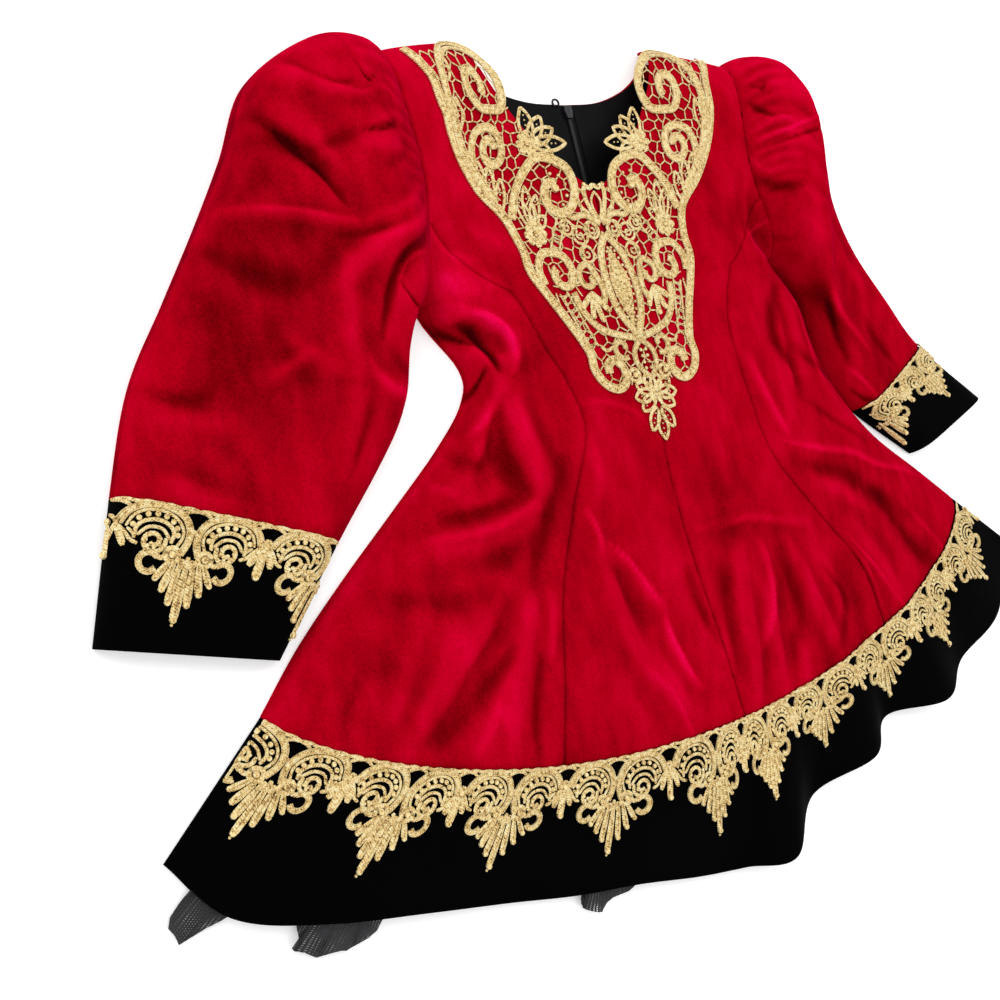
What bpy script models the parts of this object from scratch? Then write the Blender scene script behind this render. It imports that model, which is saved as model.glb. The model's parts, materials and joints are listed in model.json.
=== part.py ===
# A girl's velvet dress with gold lace, laid flat on its back with its head end towards +Y.
# X runs across the dress, Y from the hem to the neck, Z up from the surface that it lies on.
# The tables below are in centimetres and the named sizes in metres.
import math

import bmesh
import bpy
from mathutils import Vector
from mathutils.geometry import delaunay_2d_cdt

CM = 0.01

# Moves the tables' zero to the middle of the whole dress.
TO_CENTRE = (0.0020, -0.0054, 0.0)

# Cloth, seams and trims
VELVET = 0.0016
SEAM_GAP = 0.0003
LINING = 0.0010
NET = 0.0012
ZIP_TAPE = 0.0008
LACE = 0.0014
LACE_LIFT = 0.0015
FOLD_EDGE = VELVET + SEAM_GAP

# How finely the walls are made
SKIRT_ROWS = 18
ARMHOLE_ROWS = 16
CENTRE_COLUMNS = 6
SIDE_COLUMNS = 7
SLEEVE_RINGS = 14
CUFF_RINGS = 3
UNDER_STEP = 2
BAND_COLUMNS = 52
BAND_ROWS = 4
BAND_DEPTH = 5.0
BAND_BULGE = 0.25
BAND_ENDS = 0.35
CROWN_POWER = 6
LACE_REST = 1.5

# Body from the hem seam to the shoulder: each row is a line across the front. arch raises its
# middle above its ends, or drops it where it is negative. The seam columns are where the two
# princess seams and the centre seam cross it.
BODY_COLUMNS = ("left_x", "left_y", "right_x", "right_y", "arch", "height",
                "left_seam", "centre", "right_seam")
BODY_SECTIONS = {
    "hem_seam":     (-30.8, -8.1, 31.6, -8.6, -9.7, 2.0, -13.9, 1.3, 17.5),
    "skirt_low":    (-27.9, -5.2, 27.8, -5.4, -7.6, 2.4, -12.7, 0.6, 16.0),
    "skirt_high":   (-24.4, -2.3, 23.6, -2.0, -4.8, 2.6, -11.3, -0.3, 12.3),
    "hip":          (-20.2, 0.9, 20.9, 1.1, -2.6, 2.6, -8.9, -0.6, 9.4),
    "below_waist":  (-16.2, 4.0, 19.1, 4.1, -1.1, 2.6, -6.6, -0.3, 8.6),
    "waist":        (-13.7, 6.5, 18.4, 6.8, -0.3, 2.5, -7.0, -0.5, 8.4),
    "above_waist":  (-13.3, 8.6, 17.9, 9.4, 0.0, 2.6, -8.1, -0.7, 8.4),
    "underarm":     (-15.4, 12.5, 15.7, 12.8, 0.0, 2.7, -9.7, -0.9, 10.0),
    "arm_low":      (-14.3, 16.4, 14.9, 16.4, 0.0, 2.6, -12.8, -1.0, 13.3),
    "arm_middle":   (-13.6, 20.4, 14.7, 20.3, 0.1, 2.4, -13.5, -0.8, 14.6),
    "arm_high":     (-13.7, 24.5, 15.2, 24.2, 0.6, 2.2, -13.6, -0.4, 15.1),
    "shoulder":     (-14.0, 28.7, 15.8, 28.2, 1.3, 2.2, -13.9, 0.1, 15.7),
}
UNDERARM = 7
SHOULDER = 11
PRINCESS_TOP = 6
PRINCESS_END = 0.15
ARMHOLE_HEIGHT = {"left": 2.2, "right": 2.5}

# The front neckline and the back one, from the middle of the neck out to the shoulder.
NECKLINE_COLUMNS = ("y", "left_x", "right_x")
FRONT_NECKLINE = {
    "point":    (18.6, -0.9, -0.7),
    "lower":    (21.0, -3.9, 2.9),
    "middle":   (23.8, -5.9, 5.1),
    "upper":    (26.4, -7.2, 6.9),
    "shoulder": (29.6, -8.3, 8.4),
}
BACK_NECKLINE = {
    "middle":   (25.5, 0.3, 0.3),
    "inner":    (25.7, -3.0, 3.4),
    "outer":    (26.8, -6.2, 6.4),
    "shoulder": (28.6, -8.3, 8.7),
}
CENTRE_BACK = 0.3

# Sleeves and cuffs: the outer and inner edge of each section across the flattened tube.
SLEEVE_COLUMNS = ("outer_x", "outer_y", "inner_x", "inner_y", "height")
LEFT_SLEEVE = {
    "armhole":   (-14.0, 28.7, -15.4, 12.5, 2.2),
    "gather":    (-15.9, 29.2, -16.0, 12.1, 4.2),
    "cap":       (-19.3, 28.8, -16.8, 11.5, 5.4),
    "puff":      (-23.2, 26.4, -17.4, 10.3, 5.2),
    "upper_arm": (-25.6, 22.2, -17.7, 9.1, 4.4),
    "bicep":     (-28.1, 18.3, -18.0, 7.4, 3.7),
    "elbow":     (-30.7, 14.5, -19.0, 5.5, 3.2),
    "forearm":   (-33.6, 10.2, -21.0, 3.2, 2.8),
    "cuff_seam": (-35.8, 4.8, -24.3, -0.2, 2.3),
    "cuff_end":  (-38.3, -2.3, -29.1, -5.5, 1.5),
}
RIGHT_SLEEVE = {
    "armhole":   (15.8, 28.2, 15.7, 12.8, 2.5),
    "gather":    (17.4, 28.8, 16.2, 12.5, 4.0),
    "cap":       (19.5, 28.2, 16.9, 11.8, 5.0),
    "puff":      (21.2, 25.4, 17.7, 10.7, 5.0),
    "upper_arm": (21.6, 21.6, 18.3, 9.4, 4.3),
    "bicep":     (22.2, 17.8, 18.5, 7.7, 3.6),
    "elbow":     (24.2, 13.4, 18.9, 5.6, 3.0),
    "forearm":   (27.2, 8.8, 19.8, 3.2, 2.8),
    "cuff_seam": (30.5, 4.6, 21.8, 0.4, 2.4),
    "cuff_end":  (37.9, -0.9, 27.6, -4.1, 1.6),
}
CUFF_SEAM = 8
CUFF_END = 9

# The lower edge of the black band at equal steps of the hem seam, with how far it stands off
# the surface: the crests are flutes of the skirt.
HEM_COLUMNS = ("x", "y", "lift")
HEM_EDGE = {
    "left_corner":  (-37.4, -13.6, 0.6),
    "left_turn":    (-35.0, -17.2, 1.3),
    "left_net":     (-30.2, -19.5, 1.1),
    "left_flute":   (-24.6, -21.2, 1.2),
    "left_middle":  (-19.2, -22.9, 0.7),
    "left_dip":     (-14.6, -24.3, 0.8),
    "inner_flute":  (-9.9, -25.4, 1.1),
    "inner_dip":    (-5.0, -26.9, 0.8),
    "middle":       (-0.8, -27.9, 0.8),
    "first_crest":  (2.6, -28.3, 2.2),
    "first_dip":    (7.0, -25.6, 0.7),
    "second_crest": (12.6, -24.6, 2.2),
    "second_dip":   (16.6, -22.8, 0.7),
    "third_crest":  (22.6, -23.3, 2.0),
    "third_dip":    (27.2, -21.3, 0.7),
    "right_turn":   (33.4, -19.0, 0.9),
    "right_corner": (37.6, -13.6, 0.2),
}

# Folds as soft ridges, or troughs where rise is negative: from one end to the other in plan,
# with the middle moved sideways by bend.
FOLD_COLUMNS = ("from_x", "from_y", "to_x", "to_y", "bend", "width", "rise")
BODY_FOLDS = {
    "armhole_drag":      (-14.0, 17.6, -7.4, 13.6, 0.4, 0.8, 0.5),
    "armhole_hollow":    (-14.6, 15.8, -8.6, 11.8, 0.3, 0.8, -0.5),
    "underarm_pinch":    (-16.4, 10.8, -10.4, 8.6, 0.4, 0.9, -1.8),
    "underarm_tongue":   (-14.4, 12.4, -10.6, 10.2, -0.3, 0.8, 0.7),
    "side_hollow":       (-12.2, 6.8, -15.6, 0.6, 0.9, 1.3, -1.5),
    "side_roll":         (-12.6, 7.8, -14.6, 4.8, 0.0, 0.8, 0.7),
    "waist_roll":        (-10.2, 10.6, -11.4, -1.6, -0.8, 1.0, 1.0),
    "waist_drag":        (-10.8, -1.0, -23.4, -1.6, 0.6, 0.9, 0.9),
    "under_drag":        (-11.8, -2.6, -22.0, -3.4, 0.4, 0.9, -0.5),
    "left_skirt_ridge":  (-20.4, -3.4, -24.2, -10.6, 0.3, 1.0, 0.6),
    "left_skirt_trough": (-14.8, -5.4, -22.8, -13.0, 0.4, 1.2, -0.8),
    "left_flute":        (-13.2, -5.4, -18.4, -15.4, 0.0, 1.2, 0.6),
    "front_ridge":       (-8.0, -3.4, -2.4, -18.0, -1.3, 0.9, 0.9),
    "front_trough":      (-6.0, -5.4, -5.0, -18.4, -0.9, 1.2, -0.5),
    "hip_ridge":         (-4.4, -2.2, 11.6, -5.6, 0.0, 0.9, 0.5),
    "middle_flute":      (3.6, -6.2, 2.2, -18.4, 0.2, 1.0, 0.9),
    "middle_trough":     (6.4, -8.4, 7.0, -18.6, 0.0, 1.4, -0.8),
    "second_flute":      (8.6, -6.6, 12.0, -18.2, 0.0, 1.2, 0.7),
    "second_trough":     (13.0, -8.6, 16.0, -18.0, 0.0, 1.2, -0.7),
    "third_flute":       (15.2, -7.2, 21.0, -16.6, 0.2, 1.1, 0.7),
    "third_trough":      (18.6, -5.4, 25.4, -14.6, 0.3, 1.1, -0.7),
    "right_waist_fold":  (11.2, 15.8, 16.8, 9.4, 0.5, 0.9, 0.6),
    "right_hollow":      (14.0, 11.8, 13.8, 1.6, 0.7, 1.1, -0.9),
    "right_side_ridge":  (15.6, 7.4, 21.2, -1.8, -0.4, 0.9, 0.5),
}
LEFT_SLEEVE_FOLDS = {
    "cap_ridge":      (-16.4, 25.6, -23.6, 25.4, 0.4, 0.8, 0.5),
    "cap_crease":     (-16.4, 24.6, -21.0, 23.2, 0.2, 0.6, -0.4),
    "pucker_high":    (-15.4, 26.9, -18.2, 26.6, 0.0, 0.5, 0.3),
    "pucker_middle":  (-15.2, 23.4, -19.0, 21.6, 0.0, 0.6, 0.35),
    "pucker_low":     (-15.0, 21.4, -18.6, 19.6, 0.0, 0.5, -0.35),
    "long_crease":    (-25.4, 22.8, -19.6, 16.8, 0.5, 1.0, -0.7),
    "elbow_ridge":    (-28.4, 18.4, -20.0, 17.6, 0.4, 1.1, 0.5),
    "drag_ridge":     (-15.6, 18.0, -21.6, 13.6, 0.3, 0.9, 0.6),
    "drag_trough":    (-15.8, 16.2, -19.8, 12.2, 0.3, 0.8, -0.7),
    "underarm_loop":  (-16.0, 14.0, -18.6, 11.0, 0.4, 0.6, 0.5),
    "forearm_ridge":  (-25.6, 11.8, -23.0, 8.6, 0.0, 1.1, 0.3),
    "forearm_crease": (-33.0, 8.0, -28.0, 3.6, 0.5, 0.9, -0.3),
    "inner_ridge":    (-20.8, 10.2, -23.0, 4.4, -0.4, 0.9, 0.4),
}
RIGHT_SLEEVE_FOLDS = {
    "cap_ridge":     (17.0, 25.8, 21.0, 23.8, 0.2, 0.7, 0.4),
    "cap_crease":    (16.6, 24.2, 20.6, 21.6, 0.2, 0.6, -0.4),
    "pucker_low":    (16.2, 22.0, 19.6, 19.6, 0.0, 0.6, 0.3),
    "arm_trough":    (17.0, 18.6, 21.6, 13.0, 0.3, 0.9, -0.4),
    "arm_ridge":     (19.0, 16.6, 23.6, 8.6, 0.2, 0.9, 0.3),
    "forearm_fold":  (22.0, 9.0, 25.6, 4.0, 0.0, 0.9, 0.3),
}

# Net underskirt: three corners of it show below the hem.
NET_INSET = 1.3
NET_CORNER_INSET = 0.4
NET_CORNER_ROOM = 0.3
NET_TOP = 0.25
NET_COLUMNS = ("before", "after", "first_x", "first_y", "second_x", "second_y")
NET_CORNERS = {
    "left":   (0.5, 1.0, -38.0, -16.4, -37.5, -17.8),
    "middle": (1.7, 2.7, -32.2, -20.4, -29.4, -21.5),
    "right":  (5.2, 6.1, -14.4, -25.3, -12.8, -26.0),
}

# Half a repeat of the lace edging: distance along it from the pendant's axis, and depth.
REPEAT = 8.0
EDGING_TOP = ((0.0, 0.35), (0.8, 0.1), (2.0, 0.0), (3.2, 0.1), (4.0, 0.35))
EDGING_FOOT = ((0.0, 6.2), (0.35, 5.9), (0.45, 5.1), (0.9, 5.2), (1.25, 4.9), (1.3, 4.4), (1.8, 4.2),
               (1.8, 3.8), (2.3, 3.8), (2.75, 3.2), (2.5, 2.4), (2.9, 2.1), (3.2, 2.5), (3.6, 2.5),
               (3.7, 3.1), (4.0, 3.3))
EDGING_EYE = ((1.1, 1.6), (1.5, 1.05), (2.1, 0.85), (2.7, 1.1), (2.9, 1.6), (2.1, 1.25))
EDGING_LOOP = ((2.15, 2.7), (2.42, 3.1), (2.1, 3.45), (1.8, 3.1))
EDGING_DIAMOND = ((0.0, 1.9), (0.45, 2.4), (0.0, 3.0), (-0.45, 2.4))
EDGING_NOTCH = ((0.0, 1.25), (-0.45, 0.6), (0.45, 0.6))
EDGING_START = 0.06
EDGING_DEPTH = 6.2
HEM_END = 1.4

# Where the axis of each pendant crosses the front, from -1 at its left edge to 1 at its right,
# and how far down the band it reaches: the flutes of the skirt bunch the lace and shorten it.
PENDANT_COLUMNS = ("across", "reach")
HEM_PENDANTS = {
    "first":   (-0.950, 6.1),
    "second":  (-0.757, 6.7),
    "third":   (-0.563, 5.9),
    "fourth":  (-0.335, 5.9),
    "fifth":   (-0.077, 6.9),
    "sixth":   (0.077, 6.1),
    "seventh": (0.275, 5.0),
    "eighth":  (0.509, 5.2),
    "ninth":   (0.712, 5.9),
    "tenth":   (0.896, 6.0),
}
CUFF_LACE_START = 0.93

# Neck piece: half its outline from the crown at the neck point round to the tip, measured from
# its axis, with the y of the front. NECK_WINDOWS are its larger gaps, one ellipse each.
NECK_AXIS_COLUMNS = ("y", "x")
NECK_AXIS = {
    "tip": (1.4, -0.3), "lobes": (6.0, -0.2), "rings": (11.0, -0.8), "kink": (16.4, -1.3),
    "scroll": (21.0, -0.8), "shoulder": (28.4, 0.3),
}
NECK_INNER = ((0.0, 18.9), (0.6, 19.1), (1.2, 18.9), (1.6, 19.8), (2.3, 20.8), (3.8, 21.3),
              (2.4, 22.2), (2.9, 23.5), (3.9, 24.0), (4.5, 25.1), (6.2, 25.2), (5.9, 26.7),
              (6.9, 27.9), (8.4, 28.4))
NECK_OUTER = ((10.0, 28.1), (11.6, 27.8), (13.4, 27.5), (12.8, 26.3), (12.6, 24.2), (11.8, 21.7),
              (9.9, 18.9), (7.8, 16.9), (7.3, 15.0), (6.7, 12.6), (5.4, 9.8), (4.7, 7.5),
              (4.0, 6.1), (3.0, 5.4), (2.4, 5.3), (2.2, 4.3), (1.4, 4.0), (1.3, 3.0), (0.6, 2.2))
NECK_TIP = (0.0, 1.4)
WINDOW_COLUMNS = ("x", "y", "long", "wide", "turn")
NECK_WINDOWS = {
    "loop":          (7.0, 27.0, 1.8, 0.7, 65),
    "shoulder_gap":  (9.3, 27.6, 1.7, 0.5, -10),
    "ring":          (8.7, 25.4, 1.8, 1.1, 60),
    "outer_net":     (11.2, 25.8, 2.4, 0.8, 95),
    "outer_leaf":    (11.2, 23.2, 1.6, 0.5, 80),
    "second_ring":   (9.4, 22.4, 1.5, 1.1, 40),
    "spray_gap":     (6.9, 23.1, 1.5, 0.9, 20),
    "side_gap":      (8.7, 19.8, 1.6, 0.7, 50),
    "scroll":        (4.9, 19.7, 2.2, 1.1, 30),
    "scroll_inner":  (2.9, 19.4, 1.0, 0.5, 70),
    "leaf_gap":      (6.8, 17.9, 1.6, 0.6, 45),
    "daisy_gap":     (5.4, 16.2, 1.5, 0.7, 60),
    "ladder":        (3.7, 17.2, 1.5, 0.6, 60),
    "crown_side":    (2.0, 16.6, 0.9, 0.5, 20),
    "ring_gap":      (4.4, 13.8, 1.5, 0.6, 75),
    "edge_gap":      (5.6, 12.6, 2.4, 0.6, 72),
    "heart_side":    (1.9, 13.9, 1.1, 0.5, 80),
    "leaf_side":     (3.0, 11.7, 1.6, 0.6, 75),
    "lower_scroll":  (3.9, 9.6, 2.0, 0.7, 65),
    "foot_side":     (1.7, 9.3, 1.3, 0.45, 60),
    "lobe":          (3.3, 7.2, 1.3, 0.7, 50),
    "lobe_inner":    (1.4, 6.9, 1.0, 0.45, 70),
}
CROWN_DROP = (0.0, 17.4, 1.1, 0.6, 90)
WINDOW_POINTS = 5

# Zip, lining, and the hook at the back of the neck
LINING_FOOT = 11.0
LINING_SIDE = 10.5
LINING_INSET = 0.1
TAPE_WIDTH = 1.1
COIL_WIDTH = 0.0030
COIL_HEIGHT = 0.0010
HOOK_WIRE = 0.0008
HOOK_RADIUS = 0.0026
HOOK_ASIDE = 0.009
HOOK_REACH = 0.0005
ZIP_SLIDER = 0.0022
COIL_START = 0.2
COIL_STOP = 1.0

COLOURS = {
    "red_velvet": ((0.30, 0.0, 0.015), 0.75, 0.0),
    "black_velvet": ((0.006, 0.006, 0.008), 0.85, 0.0),
    "gold_lace": ((0.62, 0.43, 0.14), 0.5, 0.15),
    "black_lining": ((0.010, 0.010, 0.014), 0.45, 0.0),
    "black_net": ((0.012, 0.012, 0.014), 0.6, 0.0),
    "dark_metal": ((0.10, 0.10, 0.11), 0.35, 0.9),
}


def clear_scene():
    for thing in list(bpy.data.objects):
        bpy.data.objects.remove(thing, do_unlink=True)


def make_materials():
    materials = {}
    for name, (colour, roughness, metallic) in COLOURS.items():
        material = bpy.data.materials.new(name)
        material.use_nodes = True
        shader = material.node_tree.nodes["Principled BSDF"]
        shader.inputs["Base Color"].default_value = (*colour, 1.0)
        shader.inputs["Roughness"].default_value = roughness
        shader.inputs["Metallic"].default_value = metallic
        materials[name] = material
    return materials


def mix(a, b, share):
    return a + (b - a) * share


def rows_of(table, columns):
    return [dict(zip(columns, row)) for row in table.values()]


def smooth(rows, column, place):
    # A smooth curve through one column of a table, read at a place counted in rows.
    values = [row[column] for row in rows]
    last = len(values) - 1
    index = min(max(int(math.floor(place)), 0), last - 1)
    t = place - index
    start, end = values[index], values[index + 1]
    before = values[index - 1] if index > 0 else 2 * start - end
    after = values[index + 2] if index + 2 <= last else 2 * end - start
    leave, arrive = (end - before) / 2, (after - start) / 2
    return (start * (2 * t**3 - 3 * t**2 + 1) + leave * (t**3 - 2 * t**2 + t)
            + end * (3 * t**2 - 2 * t**3) + arrive * (t**3 - t**2))


def place_of(rows, column, value):
    # The place in rows at which a rising column reaches a value.
    low, high = 0.0, len(rows) - 1.0
    for _ in range(40):
        middle = (low + high) / 2
        if smooth(rows, column, middle) < value:
            low = middle
        else:
            high = middle
    return (low + high) / 2


def crown(s, power=0.5):
    return max(0.0, 1 - abs(s) ** CROWN_POWER) ** power


BODY = rows_of(BODY_SECTIONS, BODY_COLUMNS)
FRONT_NECK = rows_of(FRONT_NECKLINE, NECKLINE_COLUMNS)
BACK_NECK = rows_of(BACK_NECKLINE, NECKLINE_COLUMNS)
HEM = rows_of(HEM_EDGE, HEM_COLUMNS)
NECK_LINE = rows_of(NECK_AXIS, NECK_AXIS_COLUMNS)
SLEEVES = {"left": rows_of(LEFT_SLEEVE, SLEEVE_COLUMNS), "right": rows_of(RIGHT_SLEEVE, SLEEVE_COLUMNS)}
FOLDS = {"body": rows_of(BODY_FOLDS, FOLD_COLUMNS), "left": rows_of(LEFT_SLEEVE_FOLDS, FOLD_COLUMNS),
         "right": rows_of(RIGHT_SLEEVE_FOLDS, FOLD_COLUMNS)}
EDGE = FOLD_EDGE / CM
ARM_STEPS = [math.sin(math.pi * (j / ARMHOLE_ROWS - 0.5)) for j in range(ARMHOLE_ROWS + 1)]


def fold_rise(folds, x, y):
    rise = 0.0
    for fold in folds:
        along = Vector((fold["to_x"] - fold["from_x"], fold["to_y"] - fold["from_y"]))
        offset = Vector((x - fold["from_x"], y - fold["from_y"]))
        share = offset.dot(along) / along.length_squared
        if not 0.0 < share < 1.0:
            continue
        side = along.cross(offset) / along.length - fold["bend"] * 4 * share * (1 - share)
        across = math.exp(-(side / fold["width"]) ** 2)
        rise += fold["rise"] * across * math.sin(math.pi * share) ** 0.7
    return rise


def armhole_share(place):
    # -1 at the underarm, 1 at the shoulder, for a place in the body's rows.
    return 2 * (place - UNDERARM) / (SHOULDER - UNDERARM) - 1


def body_point(place, s):
    # A point of the front's outer face, in centimetres: s is -1 at its left edge, 1 at its right.
    row = {name: smooth(BODY, name, place) for name in BODY_COLUMNS}
    x = mix(row["left_x"], row["right_x"], (s + 1) / 2)
    y = mix(row["left_y"], row["right_y"], (s + 1) / 2) + row["arch"] * max(0.0, 1 - s * s) ** 0.75
    edge, middle, power = EDGE, row["height"], 0.5
    if place > UNDERARM:
        share = min(1.0, armhole_share(place))
        side = "left" if s < 0 else "right"
        edge = mix(EDGE, ARMHOLE_HEIGHT[side], crown(share))
        middle = mix(EDGE, row["height"], crown(max(0.0, share)))
        power = mix(0.5, 1.0, min(1.0, (share + 1) / 0.3))
        top = crown(max(0.0, share))
    else:
        top = 1.0
    rise = fold_rise(FOLDS["body"], x, y) * (1 - abs(s) ** 6) * top
    return Vector((x, y, mix(edge, middle, crown(s, power)) + rise))


def band_point(down, s):
    # A point of the black band: down is 0 at the hem seam and 1 at its lower edge.
    seam = body_point(0.0, s)
    place = (s + 1) / 2 * (len(HEM) - 1)
    lift = mix(EDGE, smooth(HEM, "lift", place), crown(s))
    foot = Vector((smooth(HEM, "x", place), smooth(HEM, "y", place), lift))
    return seam.lerp(foot, down) + Vector((0, 0, BAND_BULGE * math.sin(math.pi * down) * crown(s)))


def sleeve_point(side, place, s):
    # A point of a sleeve's upper face: s is -1 at its inner edge, 1 at its outer edge.
    rows = SLEEVES[side]
    row = {name: smooth(rows, name, place) for name in SLEEVE_COLUMNS}
    x = mix(row["inner_x"], row["outer_x"], (s + 1) / 2)
    y = mix(row["inner_y"], row["outer_y"], (s + 1) / 2)
    # Near the armhole the section bows with it.
    bow = max(0.0, 1 - place)
    armhole = armhole_point(side, s)
    x += bow * (armhole.x - mix(rows[0]["inner_x"], rows[0]["outer_x"], (s + 1) / 2))
    y += bow * (armhole.y - mix(rows[0]["inner_y"], rows[0]["outer_y"], (s + 1) / 2))
    rise = fold_rise(FOLDS[side], x, y) * (1 - abs(s) ** 6) * min(1.0, place)
    return Vector((x, y, mix(EDGE, row["height"], crown(s)) + rise))


def armhole_point(side, s):
    place = UNDERARM + (s + 1) / 2 * (SHOULDER - UNDERARM)
    return body_point(place, -1.0 if side == "left" else 1.0)


def normal_at(surface, u, s, u_range, s_range=(-1.0, 1.0)):
    # The direction in which the surface faces, from small steps along it.
    step = 0.004
    u_low, u_high = max(u - step, u_range[0]), min(u + step, u_range[1])
    s_low, s_high = max(s - step, s_range[0]), min(s + step, s_range[1])
    along = surface(u_high, s) - surface(u_low, s)
    across = surface(u, s_high) - surface(u, s_low)
    normal = along.cross(across)
    if normal.z < 0:
        normal = -normal
    return normal.normalized()


def finish(name, mesh_data, material):
    mesh = bpy.data.meshes.new(name)
    bmesh.ops.recalc_face_normals(mesh_data, faces=mesh_data.faces)
    bmesh.ops.triangulate(mesh_data, faces=mesh_data.faces)
    bmesh.ops.translate(mesh_data, verts=mesh_data.verts, vec=TO_CENTRE)
    mesh_data.to_mesh(mesh)
    mesh_data.free()
    mesh.materials.append(material)
    mesh.shade_smooth()
    mesh.set_sharp_from_angle(angle=math.radians(50))
    thing = bpy.data.objects.new(name, mesh)
    bpy.context.scene.collection.objects.link(thing)
    return thing


def add_wall(name, outer, inner, material, tube=False):
    # One closed wall between two grids of points in metres. A tube's rows join up round it.
    bm = bmesh.new()
    faces = [[[bm.verts.new(point) for point in row] for row in grid] for grid in (outer, inner)]
    rows, columns = len(outer), len(outer[0])
    spans = columns if tube else columns - 1
    for grid in faces:
        for i in range(rows - 1):
            for j in range(spans):
                k = (j + 1) % columns
                bm.faces.new((grid[i][j], grid[i][k], grid[i + 1][k], grid[i + 1][j]))
    outside, inside = faces
    for i in (0, rows - 1):
        for j in range(spans):
            k = (j + 1) % columns
            bm.faces.new((outside[i][j], outside[i][k], inside[i][k], inside[i][j]))
    if not tube:
        for j in (0, columns - 1):
            for i in range(rows - 1):
                bm.faces.new((outside[i][j], outside[i + 1][j], inside[i + 1][j], inside[i][j]))
    return finish(name, bm, material)


def add_plate(name, outline, bottom, thickness, material):
    # A flat piece of cloth from its outline in centimetres.
    bm = bmesh.new()
    face = bm.faces.new([bm.verts.new((x * CM, y * CM, bottom)) for x, y in outline])
    lifted = bmesh.ops.extrude_face_region(bm, geom=[face])
    corners = [item for item in lifted["geom"] if isinstance(item, bmesh.types.BMVert)]
    bmesh.ops.translate(bm, verts=corners, vec=(0, 0, thickness))
    return finish(name, bm, material)


def add_lace(name, outline, holes, to_surface, material):
    # Lace from a flat outline with holes in it, laid on a surface: to_surface gives a point of
    # the carrying panel and the way that it faces, both in centimetres.
    flat, edges = [], []
    for loop in (outline, *holes):
        start = len(flat)
        flat.extend(Vector(point) for point in loop)
        edges.extend((start + i, start + (i + 1) % len(loop)) for i in range(len(loop)))
    flat.extend(rest_points(outline, holes))
    points, _, triangles, *_ = delaunay_2d_cdt(flat, edges, [], 1, 1e-6)
    kept = [t for t in triangles if not any(in_loop((points[t[0]] + points[t[1]] + points[t[2]]) / 3, hole)
                                            for hole in holes)]
    bm = bmesh.new()
    layers = ([], [])
    for point in points:
        place, facing = to_surface(point)
        for layer, height in zip(layers, (LACE_LIFT, LACE_LIFT + LACE)):
            layer.append(bm.verts.new(place * CM + facing * height))
    under, upper = layers
    sides = {}
    for a, b, c in kept:
        bm.faces.new((upper[a], upper[b], upper[c]))
        bm.faces.new((under[a], under[c], under[b]))
        for pair in ((a, b), (b, c), (c, a)):
            sides.setdefault(frozenset(pair), []).append(pair)
    for pairs in sides.values():
        if len(pairs) == 1:
            a, b = pairs[0]
            bm.faces.new((upper[a], under[a], under[b], upper[b]))
    bmesh.ops.delete(bm, geom=[v for v in bm.verts if not v.link_faces], context="VERTS")
    return finish(name, bm, material)


def rest_points(outline, holes):
    # More points inside a wide piece of lace, away from its edges, so that it follows its panel.
    corners = [Vector(point) for loop in (outline, *holes) for point in loop]
    columns, rows = (range(int(min(point[i] for point in outline) / LACE_REST),
                           int(max(point[i] for point in outline) / LACE_REST) + 1) for i in (0, 1))
    kept = []
    for i in columns:
        for j in rows:
            point = Vector((i * LACE_REST, j * LACE_REST))
            if not in_loop(point, outline) or any(in_loop(point, hole) for hole in holes):
                continue
            if min((point - corner).length for corner in corners) > LACE_REST * 0.4:
                kept.append(point)
    return kept


def in_loop(point, loop):
    inside = False
    for (ax, ay), (bx, by) in zip(loop, [*loop[1:], loop[0]]):
        if (ay > point.y) != (by > point.y) and point.x < ax + (point.y - ay) * (bx - ax) / (by - ay):
            inside = not inside
    return inside


def body_places():
    lower = [UNDERARM * i / SKIRT_ROWS for i in range(SKIRT_ROWS)]
    upper = [UNDERARM + (s + 1) / 2 * (SHOULDER - UNDERARM) for s in ARM_STEPS]
    return lower + upper


def share_at(place, x):
    # Where across the front a given x lies.
    left, right = smooth(BODY, "left_x", place), smooth(BODY, "right_x", place)
    return 2 * (x - left) / (right - left) - 1


def neck_share(place, side):
    # Where across the front the inner edge of a centre panel lies: the centre seam, then the neckline.
    column = side + "_x"
    s = share_at(place, smooth(BODY, "centre", place))
    for _ in range(8):
        y = body_point(place, s).y
        if y <= FRONT_NECK[0]["y"]:
            return share_at(place, smooth(BODY, "centre", place))
        along = place_of(FRONT_NECK, "y", min(y, FRONT_NECK[-1]["y"]))
        s = share_at(place, smooth(FRONT_NECK, column, along))
    return s


def princess_x(place, side):
    # Above the underarm the princess seam curves out to the armhole.
    if place <= UNDERARM:
        return smooth(BODY, side + "_seam", place)
    top = UNDERARM + (ARM_STEPS[PRINCESS_TOP] + 1) / 2 * (SHOULDER - UNDERARM)
    sign = 1 if side == "left" else -1
    edge = smooth(BODY, side + "_x", place) + sign * PRINCESS_END
    share = min(1.0, (place - UNDERARM) / (top - UNDERARM))
    return mix(smooth(BODY, side + "_seam", UNDERARM), edge, share ** 0.85)


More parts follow.
